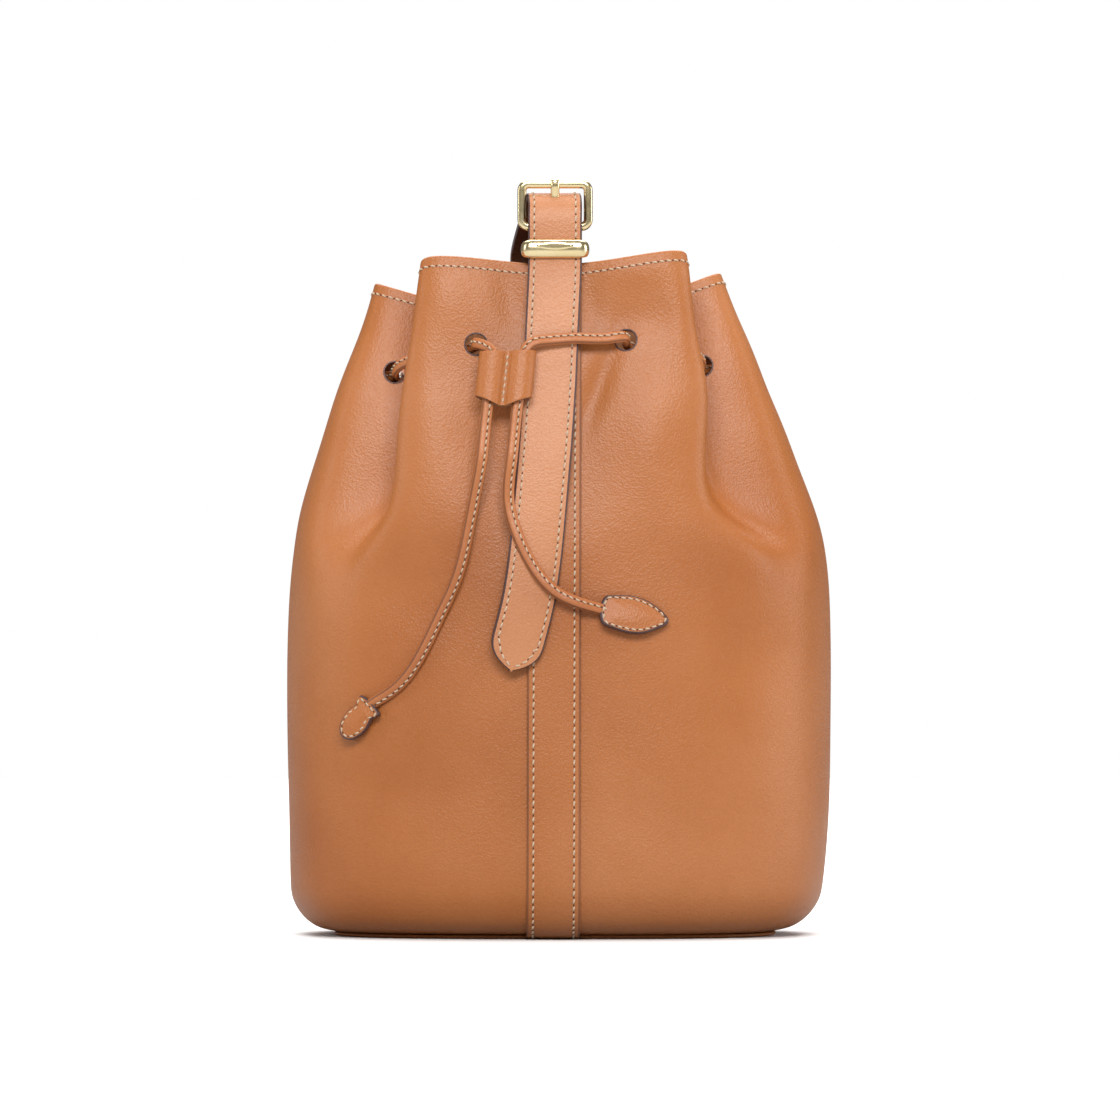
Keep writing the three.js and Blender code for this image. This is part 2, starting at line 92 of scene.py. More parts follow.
# ---------------------------------------------------------------- smooth curves
def spline(points, closed=False):
    """A cubic spline through points, as a function of a value that counts them 0, 1, 2 and so on."""
    points = np.asarray(points, float)
    count = len(points)
    ends = points[np.r_[np.arange(count), 0]] if closed else points
    gaps = np.linalg.norm(np.diff(ends, axis=0), axis=1) ** 0.5 + 1e-6
    system = np.zeros((count, count))
    right = np.zeros_like(points)
    for i in range(count):
        if not closed and i in (0, count - 1):
            system[i, i] = 1
            continue
        before = gaps[i - 1]
        after = gaps[i]
        last = points[i - 1]
        following = points[(i + 1) % count]
        system[i, (i - 1) % count] += before
        system[i, i] += 2 * (before + after)
        system[i, (i + 1) % count] += after
        right[i] = 6 * ((following - points[i]) / after - (points[i] - last) / before)
    bends = np.linalg.solve(system, right)

    def at(value):
        value = np.atleast_1d(np.asarray(value, float))
        value = value % count if closed else np.clip(value, 0, count - 1)
        low = np.minimum(value.astype(int), count - 1 if closed else count - 2)
        high = (low + 1) % count
        gap = gaps[low][:, None]
        part = (value - low)[:, None] * gap
        rest = gap - part
        return (bends[low] * rest ** 3 + bends[high] * part ** 3) / (6 * gap) + (
            points[low] / gap - bends[low] * gap / 6) * rest + (
            points[high] / gap - bends[high] * gap / 6) * part

    return at


def along(points, count, closed=False):
    """Evenly spaced points on a smooth curve through points."""
    curve = spline(points, closed)
    last = len(points) if closed else len(points) - 1
    return evenly(curve(np.linspace(0, last, 40 * last + 1)), count)


def distances(line):
    """How far along a line each of its points lies."""
    return np.r_[0, np.cumsum(np.linalg.norm(np.diff(line, axis=0), axis=1))]


def evenly(line, count):
    """A line of points, resampled to count points at equal distances."""
    steps = distances(line)
    wanted = np.linspace(0, steps[-1], count)
    return np.stack([np.interp(wanted, steps, line[:, i]) for i in range(3)], axis=1)


def full_turn(count):
    """Angles spread evenly over a full turn."""
    return np.linspace(0, 2 * math.pi, count, endpoint=False)


def unit(vectors):
    return vectors / np.maximum(np.linalg.norm(vectors, axis=-1, keepdims=True), 1e-9)


# ---------------------------------------------------------------- the surface of the bag
# Ribs of the gathered upper wall on one quarter, as [x, depth, height]: the middle of the front,
# half way along it, the corner of the front fold, the valley, the corner of the side lobe, the side.
RIB_ANGLES = (90, 70, 50, 40, 27, 0)
RIGHT_ROWS = [
    [(0, 87, 212), (48, 85, 212), (105, 73, 212), (122, 56, 212), (137, 43, 212), (147, 0, 212)],
    [(0, 84, 238), (46, 84, 238), (84, 74, 240), (90, 50, 238), (126, 40, 238), (140, 0, 238)],
    [(0, 76, 290), (44, 77, 290), (83, 68, 291), (76, 40, 288), (111, 33, 290), (120.5, 0, 290)],
    [(0, 69.5, 328), (42, 71, 329), (78, 63, 330), (64, 30, 322), (98, 27, 327), (107, 0, 326)],
    [(0, 63.5, 367.5), (42, 65, 372), (71, 58, 373), (55, 24, 352), (87, 18, 362), (92, 0, 361)],
]
LEFT_ROWS = [
    [(0, 87, 212), (48, 85, 212), (103, 73, 212), (113, 60, 212), (134, 45, 212), (145, 0, 212)],
    [(0, 84, 238), (46, 84, 238), (91, 73, 239), (90, 50, 238), (126, 42, 238), (140, 0, 238)],
    [(0, 76, 290), (44, 77, 290), (85, 68, 291), (77, 40, 288), (113, 34, 290), (123, 0, 290)],
    [(0, 69.5, 328), (42, 71, 329), (79, 63, 330), (65, 30, 322), (102, 27, 325), (110.5, 0, 324)],
    [(0, 63.5, 367.5), (42, 65, 371), (73.5, 58, 369), (57, 24, 348), (94, 19, 356), (100, 0, 356)],
]
BACK_RIM_DROP = 14.0  # the back of the mouth lies this much lower than the front
DROP_START = 200.0
RIM_HEIGHT = 367.0
RIM_DEPTH = 60.0


def plain_row(half_width, half_depth, height):
    """A row of the ungathered wall: points at the rib angles of a superellipse."""
    row = []
    for degrees in RIB_ANGLES:
        angle = math.radians(degrees)
        power = 2 / SQUARENESS
        x = 0.0 if degrees == 90 else half_width * math.cos(angle) ** power
        row.append((x, half_depth * max(math.sin(angle), 0) ** power, height))
    return row


def rounded_row(degrees):
    """A row on the rounding between the base and the wall, 0 at the seam and 90 at the top."""
    angle = math.radians(degrees)
    inset = BASE_ROUND * (1 - math.sin(angle)) + SEAM_INSET
    return plain_row(HALF_WIDTH - inset, HALF_DEPTH - inset, WALL_START + BASE_ROUND * (1 - math.cos(angle)))


LOWER_ROWS = [rounded_row(degrees) for degrees in (0, 22, 45, 68)] + [
    plain_row(HALF_WIDTH - SEAM_INSET, HALF_DEPTH - 2, WALL_START + BASE_ROUND),
    plain_row(HALF_WIDTH - 1, HALF_DEPTH, 70),
    plain_row(HALF_WIDTH, HALF_DEPTH, 125),
    plain_row(HALF_WIDTH - 0.5, HALF_DEPTH, 175),
]
RIM = len(LOWER_ROWS) + len(RIGHT_ROWS) - 1.0  # the row value of the rim, 0 is the base seam


def lean(height):
    """The body stands a little to the right of its middle and the mouth a little to the left."""
    return 2.2 * min(1.0, height / 60) * (1 - min(1.0, max(0.0, (height - 170) / 130)))


def full_row(right, left):
    """A row laid out all the way round, from the front middle over the right side and the back."""
    def place(point, side, depth):
        x, y, z = point
        climbed = max(0.0, (z - DROP_START) / (RIM_HEIGHT - DROP_START)) if depth > 0 else 0.0
        return (side * x + lean(z), depth * y, z - BACK_RIM_DROP * climbed * y / RIM_DEPTH)

    halves = []
    for side, row in ((1, right), (-1, left)):
        front = [place(point, side, -1) for point in row]
        back = [place(point, side, 1) for point in row[-2::-1]]
        halves.append(front + back)
    return halves[0] + halves[1][-2:0:-1]


FULL_ROWS = [full_row(row, row) for row in LOWER_ROWS] + [
    full_row(right, left) for right, left in zip(RIGHT_ROWS, LEFT_ROWS)]
RIB_COUNT = len(FULL_ROWS[0])
HALF_RIBS = RIB_COUNT // 2
RIBS = [spline([row[i] for row in FULL_ROWS]) for i in range(RIB_COUNT)]


# Hollows and swellings of the front, as (x, z, half width, half height, slant, depth). A positive
# depth is a hollow.
DENTS = [
    (24, 303, 7, 30, -0.34, 3.2),
    (52, 272, 15, 26, -0.15, -2.4),
    (44, 367, 24, 11, -0.3, -2.8),
    (40, 338, 24, 11, -0.3, 2.4),
    (68, 343, 8, 24, 0.10, -1.6),
    (20, 345, 6, 16, 0.0, 1.2),
    (-24, 350, 9, 20, 0.15, 2.2),
    (-60, 352, 14, 16, 0.0, -1.6),
    (-33, 252, 13, 50, 0.12, 2.6),
    (-68, 285, 12, 40, 0.08, -1.6),
    (-84, 188, 28, 22, 0.6, 1.8),
    (-112, 150, 14, 40, 0.0, -1.2),
    (100, 150, 30, 22, -0.5, 1.5),
    (72, 62, 42, 20, 0.25, 1.5),
    (-85, 84, 34, 20, -0.3, 1.4),
]


def dents(points):
    """How far the leather swells outwards at each point: waves all over, and the dents of the front."""
    x, y, z = points[..., 0], points[..., 1], points[..., 2]
    wave = np.sin(x * 0.031 + z * 0.023) * np.sin(z * 0.037 - y * 0.02 + 1.3)
    ripple = np.sin(x * 0.083 - z * 0.052 + 0.6) * np.sin(z * 0.069 + x * 0.02)
    high = np.clip((z - 150) / 150, 0, 1)
    total = 0.7 * wave * (0.4 + high) + 0.35 * ripple * high
    front = np.clip((-y - 40) / 20, 0, 1)
    for at_x, at_z, wide, tall, slant, depth in DENTS:
        across = (x - at_x + slant * (z - at_z)) / wide
        along_z = (z - at_z) / tall
        total = total - front * depth * np.exp(-across ** 2 - along_z ** 2)
    return total


class Surface:
    """The outside of the bag as a grid: rows up the wall, columns round it."""

    def __init__(self, rows, columns):
        around = np.linspace(0, RIB_COUNT, columns + 1)[:-1]
        rib_points = np.stack([rib(np.linspace(0, RIM, rows)) for rib in RIBS], axis=1)
        self.grid = np.array([spline(row, closed=True)(around) for row in rib_points])
        self.relax(2)
        self.normals = self.find_normals()
        self.grid += self.normals * dents(self.grid)[..., None]
        self.normals = self.find_normals()

    def relax(self, times):
        """Evens out each row, except the first and the last, towards its neighbouring columns."""
        for _ in range(times):
            beside = (np.roll(self.grid, 1, 1) + np.roll(self.grid, -1, 1)) / 2
            self.grid[1:-1] = 0.5 * self.grid[1:-1] + 0.5 * beside[1:-1]

    def find_normals(self):
        round_ = np.roll(self.grid, -1, 1) - np.roll(self.grid, 1, 1)
        up = np.gradient(self.grid, axis=0)
        return unit(np.cross(round_, up))

    def sample(self, level, around, offset=0.0):
        """Points and normals at row values and rib values, offset outwards."""
        level, around = np.broadcast_arrays(np.atleast_1d(level), np.atleast_1d(around))
        level = np.clip(level, 0, RIM)
        around = around % RIB_COUNT
        rows, columns, _ = self.grid.shape
        i = level / RIM * (rows - 1)
        j = around / RIB_COUNT * columns
        i0 = np.minimum(i.astype(int), rows - 2)
        j0 = j.astype(int) % columns
        j1 = (j0 + 1) % columns
        a = (i - i0)[:, None]
        b = (j - np.floor(j))[:, None]

        def between(field):
            low = field[i0, j0] * (1 - b) + field[i0, j1] * b
            high = field[i0 + 1, j0] * (1 - b) + field[i0 + 1, j1] * b
            return low * (1 - a) + high * a

        normal = unit(between(self.normals))
        return between(self.grid) + normal * offset, normal

    def level_at(self, around, height):
        """The row value where the rib reaches a height."""
        levels = np.linspace(RIM * 0.3, RIM, 400)
        points, _ = self.sample(levels, around)
        return float(np.interp(height, points[:, 2], levels))

    def below_rim(self, around, distance):
        """The row value at a distance down the leather from the rim."""
        levels = np.linspace(RIM - 3, RIM, 300)
        points, _ = self.sample(levels, around)
        return float(np.interp(distance, distances(points[::-1])[1:], levels[::-1][1:]))


surface = Surface(rows=190, columns=480)


# ---------------------------------------------------------------- meshes
def make_mesh(name, verts, faces, materials, indices=None, smooth=True):
    """A new object from points in millimetres; indices give the material of each face."""
    mesh = bpy.data.meshes.new(name)
    mesh.from_pydata((np.asarray(verts) * MM).tolist(), [], [list(map(int, f)) for f in faces])
    for material in materials:
        mesh.materials.append(material)
    if indices is not None:
        mesh.polygons.foreach_set("material_index", np.asarray(indices, dtype=np.int32))
    mesh.polygons.foreach_set("use_smooth", [smooth] * len(mesh.polygons))
    face_outwards(mesh)
    obj = bpy.data.objects.new(name, mesh)
    bpy.context.collection.objects.link(obj)
    return obj


def face_outwards(mesh):
    """Turns every face so that it looks out of its shape."""
    work = bmesh.new()
    work.from_mesh(mesh)
    bmesh.ops.recalc_face_normals(work, faces=work.faces)
    work.to_mesh(mesh)
    work.free()
    mesh.update()


def grid_faces(rows, columns, wrap_rows=False, wrap_columns=False):
    """Quads between neighbouring points of a grid, facing the way rows x columns turn."""
    faces = []
    for i in range(rows if wrap_rows else rows - 1):
        for j in range(columns if wrap_columns else columns - 1):
            k = (i + 1) % rows
            n = (j + 1) % columns
            faces.append((i * columns + j, i * columns + n, k * columns + n, k * columns + j))
    return faces


def capped_faces(rows, columns):
    """The faces of a tube of rows of points, with a flat face on either end."""
    faces = grid_faces(rows, columns, wrap_columns=True)
    faces.append(list(range(columns)))
    faces.append([(rows - 1) * columns + k for k in range(columns)])
    return faces


def sweep(centres, sides, normals, section, closed=False):
    """Points of a section carried along a line: section gives (across, out) for each point of a ring."""
    section = np.asarray(section, float)
    if section.ndim == 2:
        section = np.broadcast_to(section, (len(centres), *section.shape))
    verts = centres[:, None] + sides[:, None] * section[..., :1] + normals[:, None] * section[..., 1:]
    rows, columns = section.shape[:2]
    if closed:
        faces = grid_faces(rows, columns, wrap_rows=True, wrap_columns=True)
    else:
        faces = capped_faces(rows, columns)
    return verts.reshape(-1, 3), faces


def tangents(centres, closed=False):
    """Unit directions along a line of points."""
    if closed:
        return unit(np.roll(centres, -1, 0) - np.roll(centres, 1, 0))
    return unit(np.gradient(centres, axis=0))


def line_frames(centres, outward, closed=False):
    """Unit directions across and out of a line, from a rough outward direction."""
    tangent = tangents(centres, closed)
    side = unit(np.cross(tangent, outward))
    return side, unit(np.cross(side, tangent))


def oval(width, thick, count=16, power=1.0):
    """A closed section: an ellipse, or squarer with a power below 1."""
    round_ = np.column_stack([np.cos(full_turn(count)), np.sin(full_turn(count))])
    return np.sign(round_) * np.abs(round_) ** power * [width / 2, thick / 2]


class Parts:
    """Collects many small shapes into one mesh."""

    def __init__(self):
        self.verts = []
        self.faces = []
        self.indices = []
        self.count = 0

    def add(self, verts, faces, index=0):
        self.verts.append(np.asarray(verts, float))
        self.faces.extend([[v + self.count for v in face] for face in faces])
        self.indices.extend([index] * len(faces))
        self.count += len(verts)

    def build(self, name, materials):
        return make_mesh(name, np.vstack(self.verts), self.faces, materials, self.indices)


def apply_modifiers(obj):
    depsgraph = bpy.context.evaluated_depsgraph_get()
    mesh = bpy.data.meshes.new_from_object(obj.evaluated_get(depsgraph))
    obj.modifiers.clear()
    obj.data = mesh


def boolean_cut(obj, tool):
    """Cuts the tool out of the object; the cut faces take the tool's material."""
    cut = obj.modifiers.new("cut", "BOOLEAN")
    cut.operation = "DIFFERENCE"
    cut.solver = "EXACT"
    cut.object = tool
    cut.material_mode = "TRANSFER"
    apply_modifiers(obj)
    bpy.data.objects.remove(tool)


def stand_for(obj, body, slot, *nodes):
    """The object moves with a body and is seen instead of some nodes; the slot argument is not used."""
    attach(obj, body)
    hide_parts(*nodes)


# ---------------------------------------------------------------- materials
def new_material(name, color, roughness, metallic=0.0):
    """A new material with its node tree and its shader."""
    material = bpy.data.materials.new(name)
    material.use_nodes = True
    shader = material.node_tree.nodes["Principled BSDF"]
    shader.inputs["Base Color"].default_value = (*color, 1)
    shader.inputs["Roughness"].default_value = roughness
    shader.inputs["Metallic"].default_value = metallic
    return material, material.node_tree, shader


def noise(tree, scale, detail=4.0, kind="ShaderNodeTexNoise", stretch=(1, 1, 1)):
    """A grey pattern in the object's own space, cloudy or in cells."""
    coords = tree.nodes.new("ShaderNodeTexCoord")
    mapping = tree.nodes.new("ShaderNodeMapping")
    mapping.inputs["Scale"].default_value = stretch
    tree.links.new(coords.outputs["Object"], mapping.inputs["Vector"])
    texture = tree.nodes.new(kind)
    texture.inputs["Scale"].default_value = scale
    if "Detail" in texture.inputs:
        texture.inputs["Detail"].default_value = detail
    tree.links.new(mapping.outputs["Vector"], texture.inputs["Vector"])
    return texture.outputs["Fac" if kind == "ShaderNodeTexNoise" else "Distance"]


def ramp(tree, value, stops):
    """A colour ramp with (place, colour) stops."""
    node = tree.nodes.new("ShaderNodeValToRGB")
    while len(node.color_ramp.elements) < len(stops):
        node.color_ramp.elements.new(0.5)
    for element, (place, color) in zip(node.color_ramp.elements, stops):
        element.position = place
        element.color = (*color, 1)
    tree.links.new(value, node.inputs["Fac"])
    return node.outputs["Color"]


def mix(tree, factor, a, b, blend="MIX"):
    """A mix of two colours; each input is a number, a colour or another node's output."""
    node = tree.nodes.new("ShaderNodeMix")
    node.data_type = "RGBA"
    node.blend_type = blend
    for socket, value in ((node.inputs[0], factor), (node.inputs[6], a), (node.inputs[7], b)):
        if isinstance(value, (int, float)):
            socket.default_value = value
        elif isinstance(value, tuple):
            socket.default_value = (*value, 1)
        else:
            tree.links.new(value, socket)
    return node.outputs[2]


def mottle(tree, shader, pattern, dark, pale):
    """Lets a pattern vary the colour of a shader between two colours."""
    tree.links.new(ramp(tree, pattern, [(0.3, dark), (0.7, pale)]), shader.inputs["Base Color"])


def bump(tree, shader, heights):
    """Chain of bump nodes: (height, strength, distance in metres) for each."""
    last = None
    for height, strength, distance in heights:
        node = tree.nodes.new("ShaderNodeBump")
        node.inputs["Strength"].default_value = strength
        node.inputs["Distance"].default_value = distance
        tree.links.new(height, node.inputs["Height"])
        if last:
            tree.links.new(last, node.inputs["Normal"])
        last = node.outputs["Normal"]
    tree.links.new(last, shader.inputs["Normal"])


def map_range(tree, value, low, high):
    node = tree.nodes.new("ShaderNodeMapRange")
    node.inputs["To Min"].default_value = low
    node.inputs["To Max"].default_value = high
    tree.links.new(value, node.inputs["Value"])
    return node.outputs["Result"]


def leather(name, deep, middle, pale, roughness=(0.34, 0.48), grain=0.35):
    """Smooth calf leather: cloudy colour, fine pores and pebbling, a satin finish."""
    material, tree, shader = new_material(name, middle, 0.45)
    clouds = noise(tree, 7, 4)
    color = ramp(tree, clouds, [(0.32, deep), (0.5, middle), (0.68, pale)])
    specks = noise(tree, 420, 3)
    color = mix(tree, 0.10, color, ramp(tree, specks, [(0.35, deep), (0.65, pale)]))
    tree.links.new(color, shader.inputs["Base Color"])
    tree.links.new(map_range(tree, noise(tree, 60, 4), *roughness), shader.inputs["Roughness"])
    pebbles = noise(tree, 700, 2, "ShaderNodeTexVoronoi")
    fine = noise(tree, 1500, 2)
    creases = noise(tree, 55, 4, stretch=(1, 1, 0.5))
    bump(tree, shader, [(creases, 0.1, 0.001), (pebbles, grain, 0.0005), (fine, 0.25, 0.0002)])
    return material


TAN = leather("tan_leather", (0.33, 0.094, 0.015), (0.385, 0.122, 0.026), (0.435, 0.155, 0.048))
# The strap leather is the body's leather made paler and whiter: partly its own colour, partly painted sheen.
STRAP_PAINTED_SHEEN = leather("strap_leather", (0.43, 0.165, 0.064), (0.505, 0.208, 0.089), (0.565, 0.245, 0.112))
CORD = leather("cord_leather", (0.36, 0.11, 0.03), (0.43, 0.145, 0.045), (0.50, 0.18, 0.062), grain=0.25)
FACING = leather("facing_leather", (0.30, 0.12, 0.045), (0.38, 0.16, 0.065), (0.45, 0.20, 0.09), (0.6, 0.75))
# The strap's backing is a dark brown that is partly its own colour and partly painted shade from lying in
# shadow under the strap.
STRAP_BACK_PAINTED_SHADE = leather("strap_back_leather_painted_shade", (0.07, 0.02, 0.009), (0.10, 0.03, 0.014), (0.14, 0.045, 0.02))
EDGE = leather("edge_paint", (0.05, 0.022, 0.022), (0.075, 0.036, 0.034), (0.11, 0.06, 0.056),
               (0.3, 0.42), grain=0.1)
STRIP_EDGE = leather("strip_edge", (0.16, 0.05, 0.015), (0.21, 0.07, 0.022), (0.26, 0.09, 0.032),
                     (0.4, 0.5), grain=0.1)


def thread_material():
    """Twisted waxed thread."""
    material, tree, shader = new_material("thread", (0.52, 0.39, 0.27), 0.7)
    twist = noise(tree, 2500, 1, stretch=(1, 1, 2))
    mottle(tree, shader, twist, (0.40, 0.28, 0.18), (0.62, 0.49, 0.36))
    bump(tree, shader, [(twist, 0.5, 0.0002)])
    return material


THREAD = thread_material()


def needle_shade_material():
    """Painted shade of the needle holes: a dark brown that stands in for the shadow inside each hole."""
    material, tree, shader = new_material("needle_hole_painted_shade", (0.07, 0.024, 0.011), 0.8)
    mottle(tree, shader, noise(tree, 800, 2), (0.05, 0.017, 0.008), (0.11, 0.04, 0.017))
    return material


NEEDLE_HOLE_SHADE = needle_shade_material()


def cloth_material():
    """Plain woven cotton lining."""
    material, tree, shader = new_material("lining_cloth", (0.42, 0.28, 0.17), 0.9)
    coords = tree.nodes.new("ShaderNodeTexCoord")
    waves = []
    for direction in ("Z", "DIAGONAL"):
        wave = tree.nodes.new("ShaderNodeTexWave")
        wave.bands_direction = direction
        wave.inputs["Scale"].default_value = 320
        tree.links.new(coords.outputs["Object"], wave.inputs["Vector"])
        waves.append(wave.outputs["Fac"])
    weave = mix(tree, 0.5, waves[0], waves[1])
    faded = ramp(tree, noise(tree, 30, 3), [(0.3, (0.30, 0.19, 0.11)), (0.7, (0.42, 0.28, 0.17))])
    color = mix(tree, 0.25, faded, weave, "MULTIPLY")
    tree.links.new(color, shader.inputs["Base Color"])
    bump(tree, shader, [(weave, 0.4, 0.0003)])
    return material


CLOTH = cloth_material()


def brass_material():
    """Polished brass with faint smudges."""
    material, tree, shader = new_material("polished_brass", (0.88, 0.73, 0.42), 0.2, 1.0)
    mottle(tree, shader, noise(tree, 40, 4), (0.85, 0.68, 0.36), (0.93, 0.79, 0.48))
    tree.links.new(map_range(tree, noise(tree, 150, 5), 0.15, 0.30), shader.inputs["Roughness"])
    bump(tree, shader, [(noise(tree, 300, 3), 0.03, 0.0002)])
    return material


BRASS = brass_material()


# ---------------------------------------------------------------- body, facing, lining and base
# The drawcord holes of each side from front to back, as (height, rib value).
RIGHT_HOLES = [(327.5, 0.93), (320, 2.5), (313, 3.45), (306, 6.55), (308, 7.5), (311, 9.0)]
LEFT_HOLES = [(325.2, 1.02), (317, 2.5), (309.5, 3.55), (306, 6.55), (308, 7.5), (311, 9.0)]


def hole_places():
    """Each hole as (side, level, around) from the front round the right side, then round the left."""
    places = []
    for side, holes in ((1, RIGHT_HOLES), (-1, LEFT_HOLES)):
        for height, rib in holes:
            around = rib if side == 1 else RIB_COUNT - rib
            places.append((side, surface.level_at(around, height), around))
    return places


HOLE_PLACES = hole_places()
FACING_START = RIM - 2.0  # the row value where the facing inside the mouth ends
HALF_JOINT = 0.05  # the halves meet under the two strips, a hair apart


def wall_half(name, side):
    """One half of the bag: leather outside, a rounded turned edge at the rim, leather facing inside."""
    columns = 240
    levels = np.linspace(0, RIM - 0.02, 150)
    start = 0 if side == 1 else HALF_RIBS
    around = start + np.linspace(0, HALF_RIBS, columns)
    rows = [surface.sample(level, around)[0] for level in levels]
    rim, normal = surface.sample(RIM, around)
    for degrees in (0, 35, 65, 90, 115, 145, 180):
        angle = math.radians(degrees)
        radius = WALL / 2
        rows.append(rim - normal * radius * (1 - math.cos(angle)) + UP * radius * 0.9 * math.sin(angle))
    for level in np.linspace(RIM - 0.02, FACING_START, 40):
        rows.append(surface.sample(level, around, -WALL)[0])
    for level in np.linspace(FACING_START - 0.05, 0, 60):
        rows.append(surface.sample(level, around, -LEATHER)[0])
    grid = np.array(rows)
    for edge in (0, -1):
        grid[:, edge, 0] = side * HALF_JOINT
    faces = grid_faces(len(rows), columns, wrap_rows=True)
    turned_rows = len(levels) + 6  # the outside, and the edge turned over the rim
    indices = [1 if k // (columns - 1) >= turned_rows else 0 for k in range(len(faces))]
    for edge in (0, columns - 1):
        faces.append([i * columns + edge for i in range(len(rows))])
        indices.append(0)
    obj = make_mesh(name, grid.reshape(-1, 3), faces, [TAN, FACING], indices)
    punch(obj, side)
    return obj


def nearest_on_surface(point):
    """The leather right under a point close to it: its tangent plane at the nearest grid point."""
    distance = ((surface.grid - point) ** 2).sum(axis=2)
    i, j = np.unravel_index(np.argmin(distance), distance.shape)
    normal = surface.normals[i, j]
    return point - normal * np.dot(point - surface.grid[i, j], normal)


def punch(obj, side):
    """Cuts the round drawcord holes and paints a dark ring round the mouth of each."""
    cutters = Parts()
    rings = Parts()
    for where, level, around in HOLE_PLACES:
        if where != side:
            continue
        centre, normal = surface.sample(level, around)
        axis = centre + normal * [[-8], [4]]  # from well inside the wall to well outside it
        across, out = line_frames(axis, UP)
        cutters.add(*sweep(axis, across, out, oval(2 * HOLE_RADIUS, 2 * HOLE_RADIUS, 40)))
        turn = full_turn(48)[:, None]
        away = across[0] * np.cos(turn) + out[0] * np.sin(turn)
        circle = np.array([nearest_on_surface(centre[0] + HOLE_RADIUS * step) for step in away])
        rings.add(*sweep(circle, away, np.tile(normal[0], (48, 1)), oval(0.9, 0.7, 10), closed=True))
    painted = rings.build(obj.name + "_hole_edges", [EDGE])
    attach(painted, "bag")
    boolean_cut(obj, cutters.build("cutter", [FACING]))
    obj.data.set_sharp_from_angle(angle=math.radians(50))


LINING_DEPTH = 4.0  # from the outside of the bag in to the lining
LINING_THICK = 0.8
FLOOR_LINING = 6.2  # height of the lining over the base board


def lining():
    """The cloth lining, from the facing down and across the bottom."""
    columns = 160
    around = np.linspace(0, RIB_COUNT, columns + 1)[:-1]
    rows = []
    for level in np.linspace(FACING_START - 0.02, 0, 60):
        rows.append(surface.sample(level, around, -LINING_DEPTH)[0])
    lowest = rows[-1]
    for part in (0.8, 0.5, 0.2, 0.03):
        ring = lowest * [part, part, 1]
        ring[:, 2] = FLOOR_LINING
        rows.append(ring)
    obj = make_mesh("lining", np.vstack(rows), grid_faces(len(rows), columns, wrap_columns=True), [CLOTH])
    thick = obj.modifiers.new("thick", "SOLIDIFY")
    thick.thickness = LINING_THICK * MM
    apply_modifiers(obj)
    stand_for(obj, "bag", "lining", "wall_lining_right", "wall_lining_left", "base_lining", "base_board")


def base():
    """The base panel: a leather oval with a rounded edge under the turned-in wall."""
    columns = 160
    inset = BASE_ROUND + 1
    outline = oval(2 * (HALF_WIDTH - inset), 2 * (HALF_DEPTH - inset), columns, 2 / SQUARENESS)
    # each ring as (share of the outline, height)
    rings = [(0.02, 0.0), (0.5, 0.0), (0.97, 0.0), (0.995, 0.35), (1.0, 1.1), (0.995, 1.9), (0.9, 2.2),
             (0.02, 2.2)]
    verts = []
    for part, z in rings:
        verts.append(np.column_stack([outline * part + [lean(z), 0], np.full(columns, z)]))
    obj = make_mesh("base", np.vstack(verts), capped_faces(len(rings), columns), [TAN])
    stand_for(obj, "bag", "calf", "base_panel")


# ---------------------------------------------------------------- stitches
STITCH_LIFT = 0.12  # of the thread's middle over the leather


def stitch_shape(centre, direction, out, length, width, tilt):
    """One thread stitch: a small rounded bar that bulges out of the leather, tilted in radians."""
    side = unit(np.cross(direction, out))
    direction = unit(direction * math.cos(tilt) + side * math.sin(tilt))
    side = unit(np.cross(direction, out))
    stations = np.array([-1, -0.8, -0.35, 0.35, 0.8, 1]) * length / 2
    sizes = np.array([0.35, 0.8, 1.0, 1.0, 0.8, 0.35]) * width / 2
    lift = np.array([-0.5, 0.0, 0.18, 0.18, 0.0, -0.5])
    centres = centre + stations[:, None] * direction + lift[:, None] * out
    ring = oval(2, 2, 7)
    section = ring[None] * sizes[:, None, None]
    count = len(stations)
    return sweep(centres, np.tile(side, (count, 1)), np.tile(out, (count, 1)), section)


def needle_shade_patch(centre, direction, out, size=0.75):
    """A small dark patch where the needle went in, coloured with the painted shade of the hole."""
    side = np.cross(direction, out)
    ring = [centre + size * (math.cos(a) * direction * 0.8 + math.sin(a) * side * 0.65) + out * 0.04
            for a in full_turn(8)]
    return np.array(ring + [centre + out * 0.1]), [(k, (k + 1) % 8, 8) for k in range(8)]


def stitch_row(parts, line, out, pitch=STITCH, tilt=0.22, width=1.1, margin=1.0):
    """Stitches at an even pitch along a line of points, with a patch of painted needle-hole shade between
    each pair.
    """
    steps = distances(line)
    total = steps[-1]
    count = round((total - 2 * margin) / pitch)
    out = np.broadcast_to(out, line.shape)

    def place(distance):
        point = np.array([np.interp(distance, steps, line[:, i]) for i in range(3)])
        normal = unit(np.array([np.interp(distance, steps, out[:, i]) for i in range(3)]))
        return point, normal

    step = (total - 2 * margin) / count
    for k in range(count):
        middle = margin + (k + 0.5) * step
        point, normal = place(middle)
        ahead = place(min(middle + 1, total))[0] - place(max(middle - 1, 0))[0]
        direction = unit(ahead - normal * np.dot(ahead, normal))
        parts.add(*stitch_shape(point, direction, normal, step * 0.68, width, tilt), 0)
        if k:
            gap, gap_normal = place(margin + k * step)
            parts.add(*needle_shade_patch(gap, direction, gap_normal), 1)


def sew(name, rows, body=None, **options):
    """Rows of stitches, each given as (line, outward directions), as one object that may ride on a body."""
    parts = Parts()
    for line, out in rows:
        stitch_row(parts, line, out, **options)
    obj = parts.build(name, [THREAD, NEEDLE_HOLE_SHADE])
    if body:
        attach(obj, body)
    return obj


